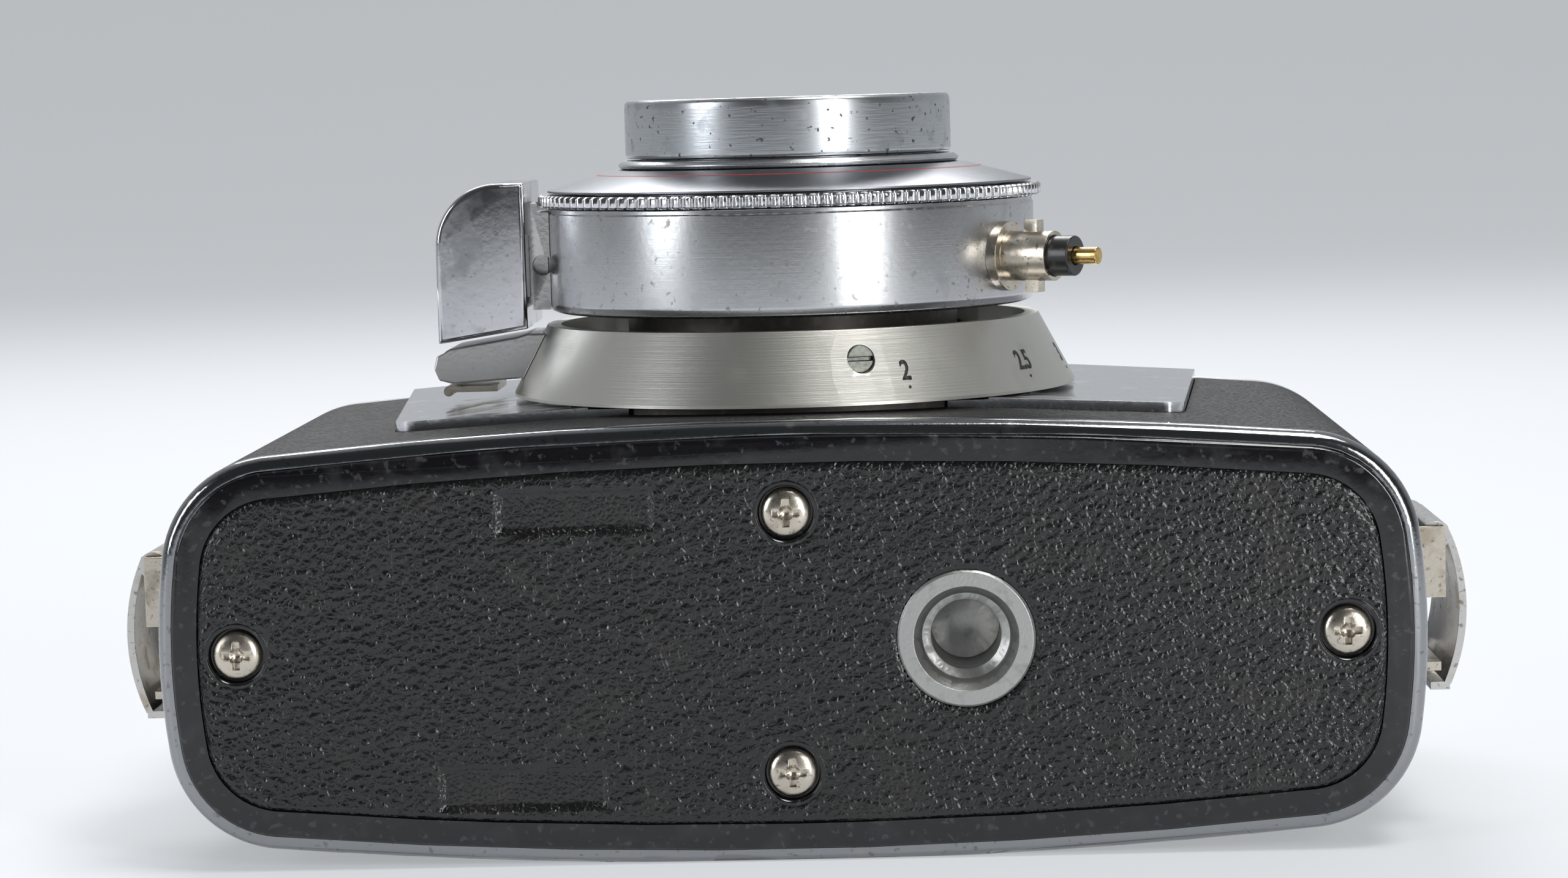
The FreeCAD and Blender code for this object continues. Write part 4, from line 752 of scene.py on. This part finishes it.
def make_camera():
    cy, sy = math.cos(CAMERA_YAW), math.sin(CAMERA_YAW)
    cp, sp = math.cos(CAMERA_PITCH), math.sin(CAMERA_PITCH)
    forward = np.array([sy * cp, cy * cp, -sp])
    right = np.array([cy, -sy, 0.0])
    up = np.cross(right, forward)
    cr, sr = math.cos(CAMERA_ROLL), math.sin(CAMERA_ROLL)
    r2, u2 = right * cr + up * sr, -right * sr + up * cr
    data = bpy.data.cameras.new("camera")
    data.lens = CAMERA_LENS
    data.sensor_width = 36.0
    data.clip_start = 0.01
    cam = bpy.data.objects.new("camera", data)
    rows = [[r2[i], u2[i], -forward[i], CAMERA_AT[i]] for i in range(3)] + [[0, 0, 0, 1]]
    cam.matrix_world = Matrix(rows)
    bpy.context.scene.collection.objects.link(cam)
    bpy.context.scene.camera = cam


def make_lamp(name, at, target, size, watts, color=(1, 1, 1)):
    data = bpy.data.lights.new(name, "AREA")
    data.shape = "RECTANGLE"
    data.size, data.size_y = size
    data.energy = watts
    data.color = color
    lamp = bpy.data.objects.new(name, data)
    aim = np.array(at, float) - np.array(target, float)
    aim /= np.linalg.norm(aim)
    side = np.cross([0, 0, 1.0], aim)
    side = side / np.linalg.norm(side) if np.linalg.norm(side) > 1e-6 else np.array([1.0, 0, 0])
    up = np.cross(aim, side)
    rows = [[side[i], up[i], aim[i], at[i]] for i in range(3)] + [[0, 0, 0, 1]]
    lamp.matrix_world = Matrix(rows)
    bpy.context.scene.collection.objects.link(lamp)


def make_studio():
    """Pale sweep: flat in front, rising behind on a wide quarter circle."""
    u = np.linspace(0, 1, 64)
    rise = 1.2
    y = np.where(u < 0.5, -3.0 + 2 * u * 4.2, 1.2 + rise * np.sin((u - 0.5) * math.pi))
    z = np.where(u < 0.5, 0.0, rise - rise * np.cos((u - 0.5) * math.pi))
    y = np.append(y, y[-1])
    z = np.append(z, 4.0)
    x = np.linspace(-4, 4, 9)
    gx, gy = np.meshgrid(x, y, indexing="ij")
    gz = np.broadcast_to(z, gx.shape)
    sweep = mesh_from("sweep", np.stack([gx, gy, gz - 0.00005], -1).reshape(-1, 3), grid_faces(9, len(y)))
    mat = bpy.data.materials.new("sweep")
    mat.use_nodes = True
    shader = mat.node_tree.nodes["Principled BSDF"]
    shader.inputs["Base Color"].default_value = (0.42, 0.43, 0.45, 1)
    shader.inputs["Roughness"].default_value = 0.7
    shader.inputs["Emission Color"].default_value = (0.43, 0.445, 0.46, 1)
    shader.inputs["Emission Strength"].default_value = 0.85
    sweep.data.materials.append(mat)
    world = bpy.data.worlds.new("studio")
    world.use_nodes = True
    tree = world.node_tree
    where = tree.nodes.new("ShaderNodeTexCoord")
    split = tree.nodes.new("ShaderNodeSeparateXYZ")
    tree.links.new(where.outputs["Generated"], split.inputs[0])
    ramp = tree.nodes.new("ShaderNodeMapRange")
    tree.links.new(split.outputs[1], ramp.inputs["Value"])
    for key, value in (("From Min", -0.35), ("From Max", 0.45), ("To Min", 0.06), ("To Max", 0.55)):
        ramp.inputs[key].default_value = value
    sky = tree.nodes["Background"]
    sky.inputs[0].default_value = (0.90, 0.92, 0.95, 1)
    tree.links.new(ramp.outputs[0], sky.inputs[1])
    bpy.context.scene.world = world
    make_lamp("key", (0.25, -0.15, 0.8), (0, 0, 0.04), (0.35, 0.25), 3.6, (1, 0.99, 0.97))
    make_lamp("right_strip", (0.42, -0.62, 0.20), (0, 0, 0.05), (0.12, 0.45), 2.6)
    make_lamp("left_fill", (-0.75, -0.45, 0.30), (0, 0, 0.05), (0.22, 0.45), 2.2, (0.95, 0.97, 1))
    make_lamp("back_top", (-0.1, 0.6, 0.6), (0, 0, 0.05), (0.6, 0.25), 4.0)
    bpy.context.scene.view_settings.view_transform = "Standard"


# ---------------------------------------------------------------- build
make_camera()
make_studio()
make_drum()
make_speed_ring()
make_front_rings()
make_numerals()
make_grain_panel()
for node, finish, edge in DRESSED:
    dress_node(node, MAT[finish], edge * MM)
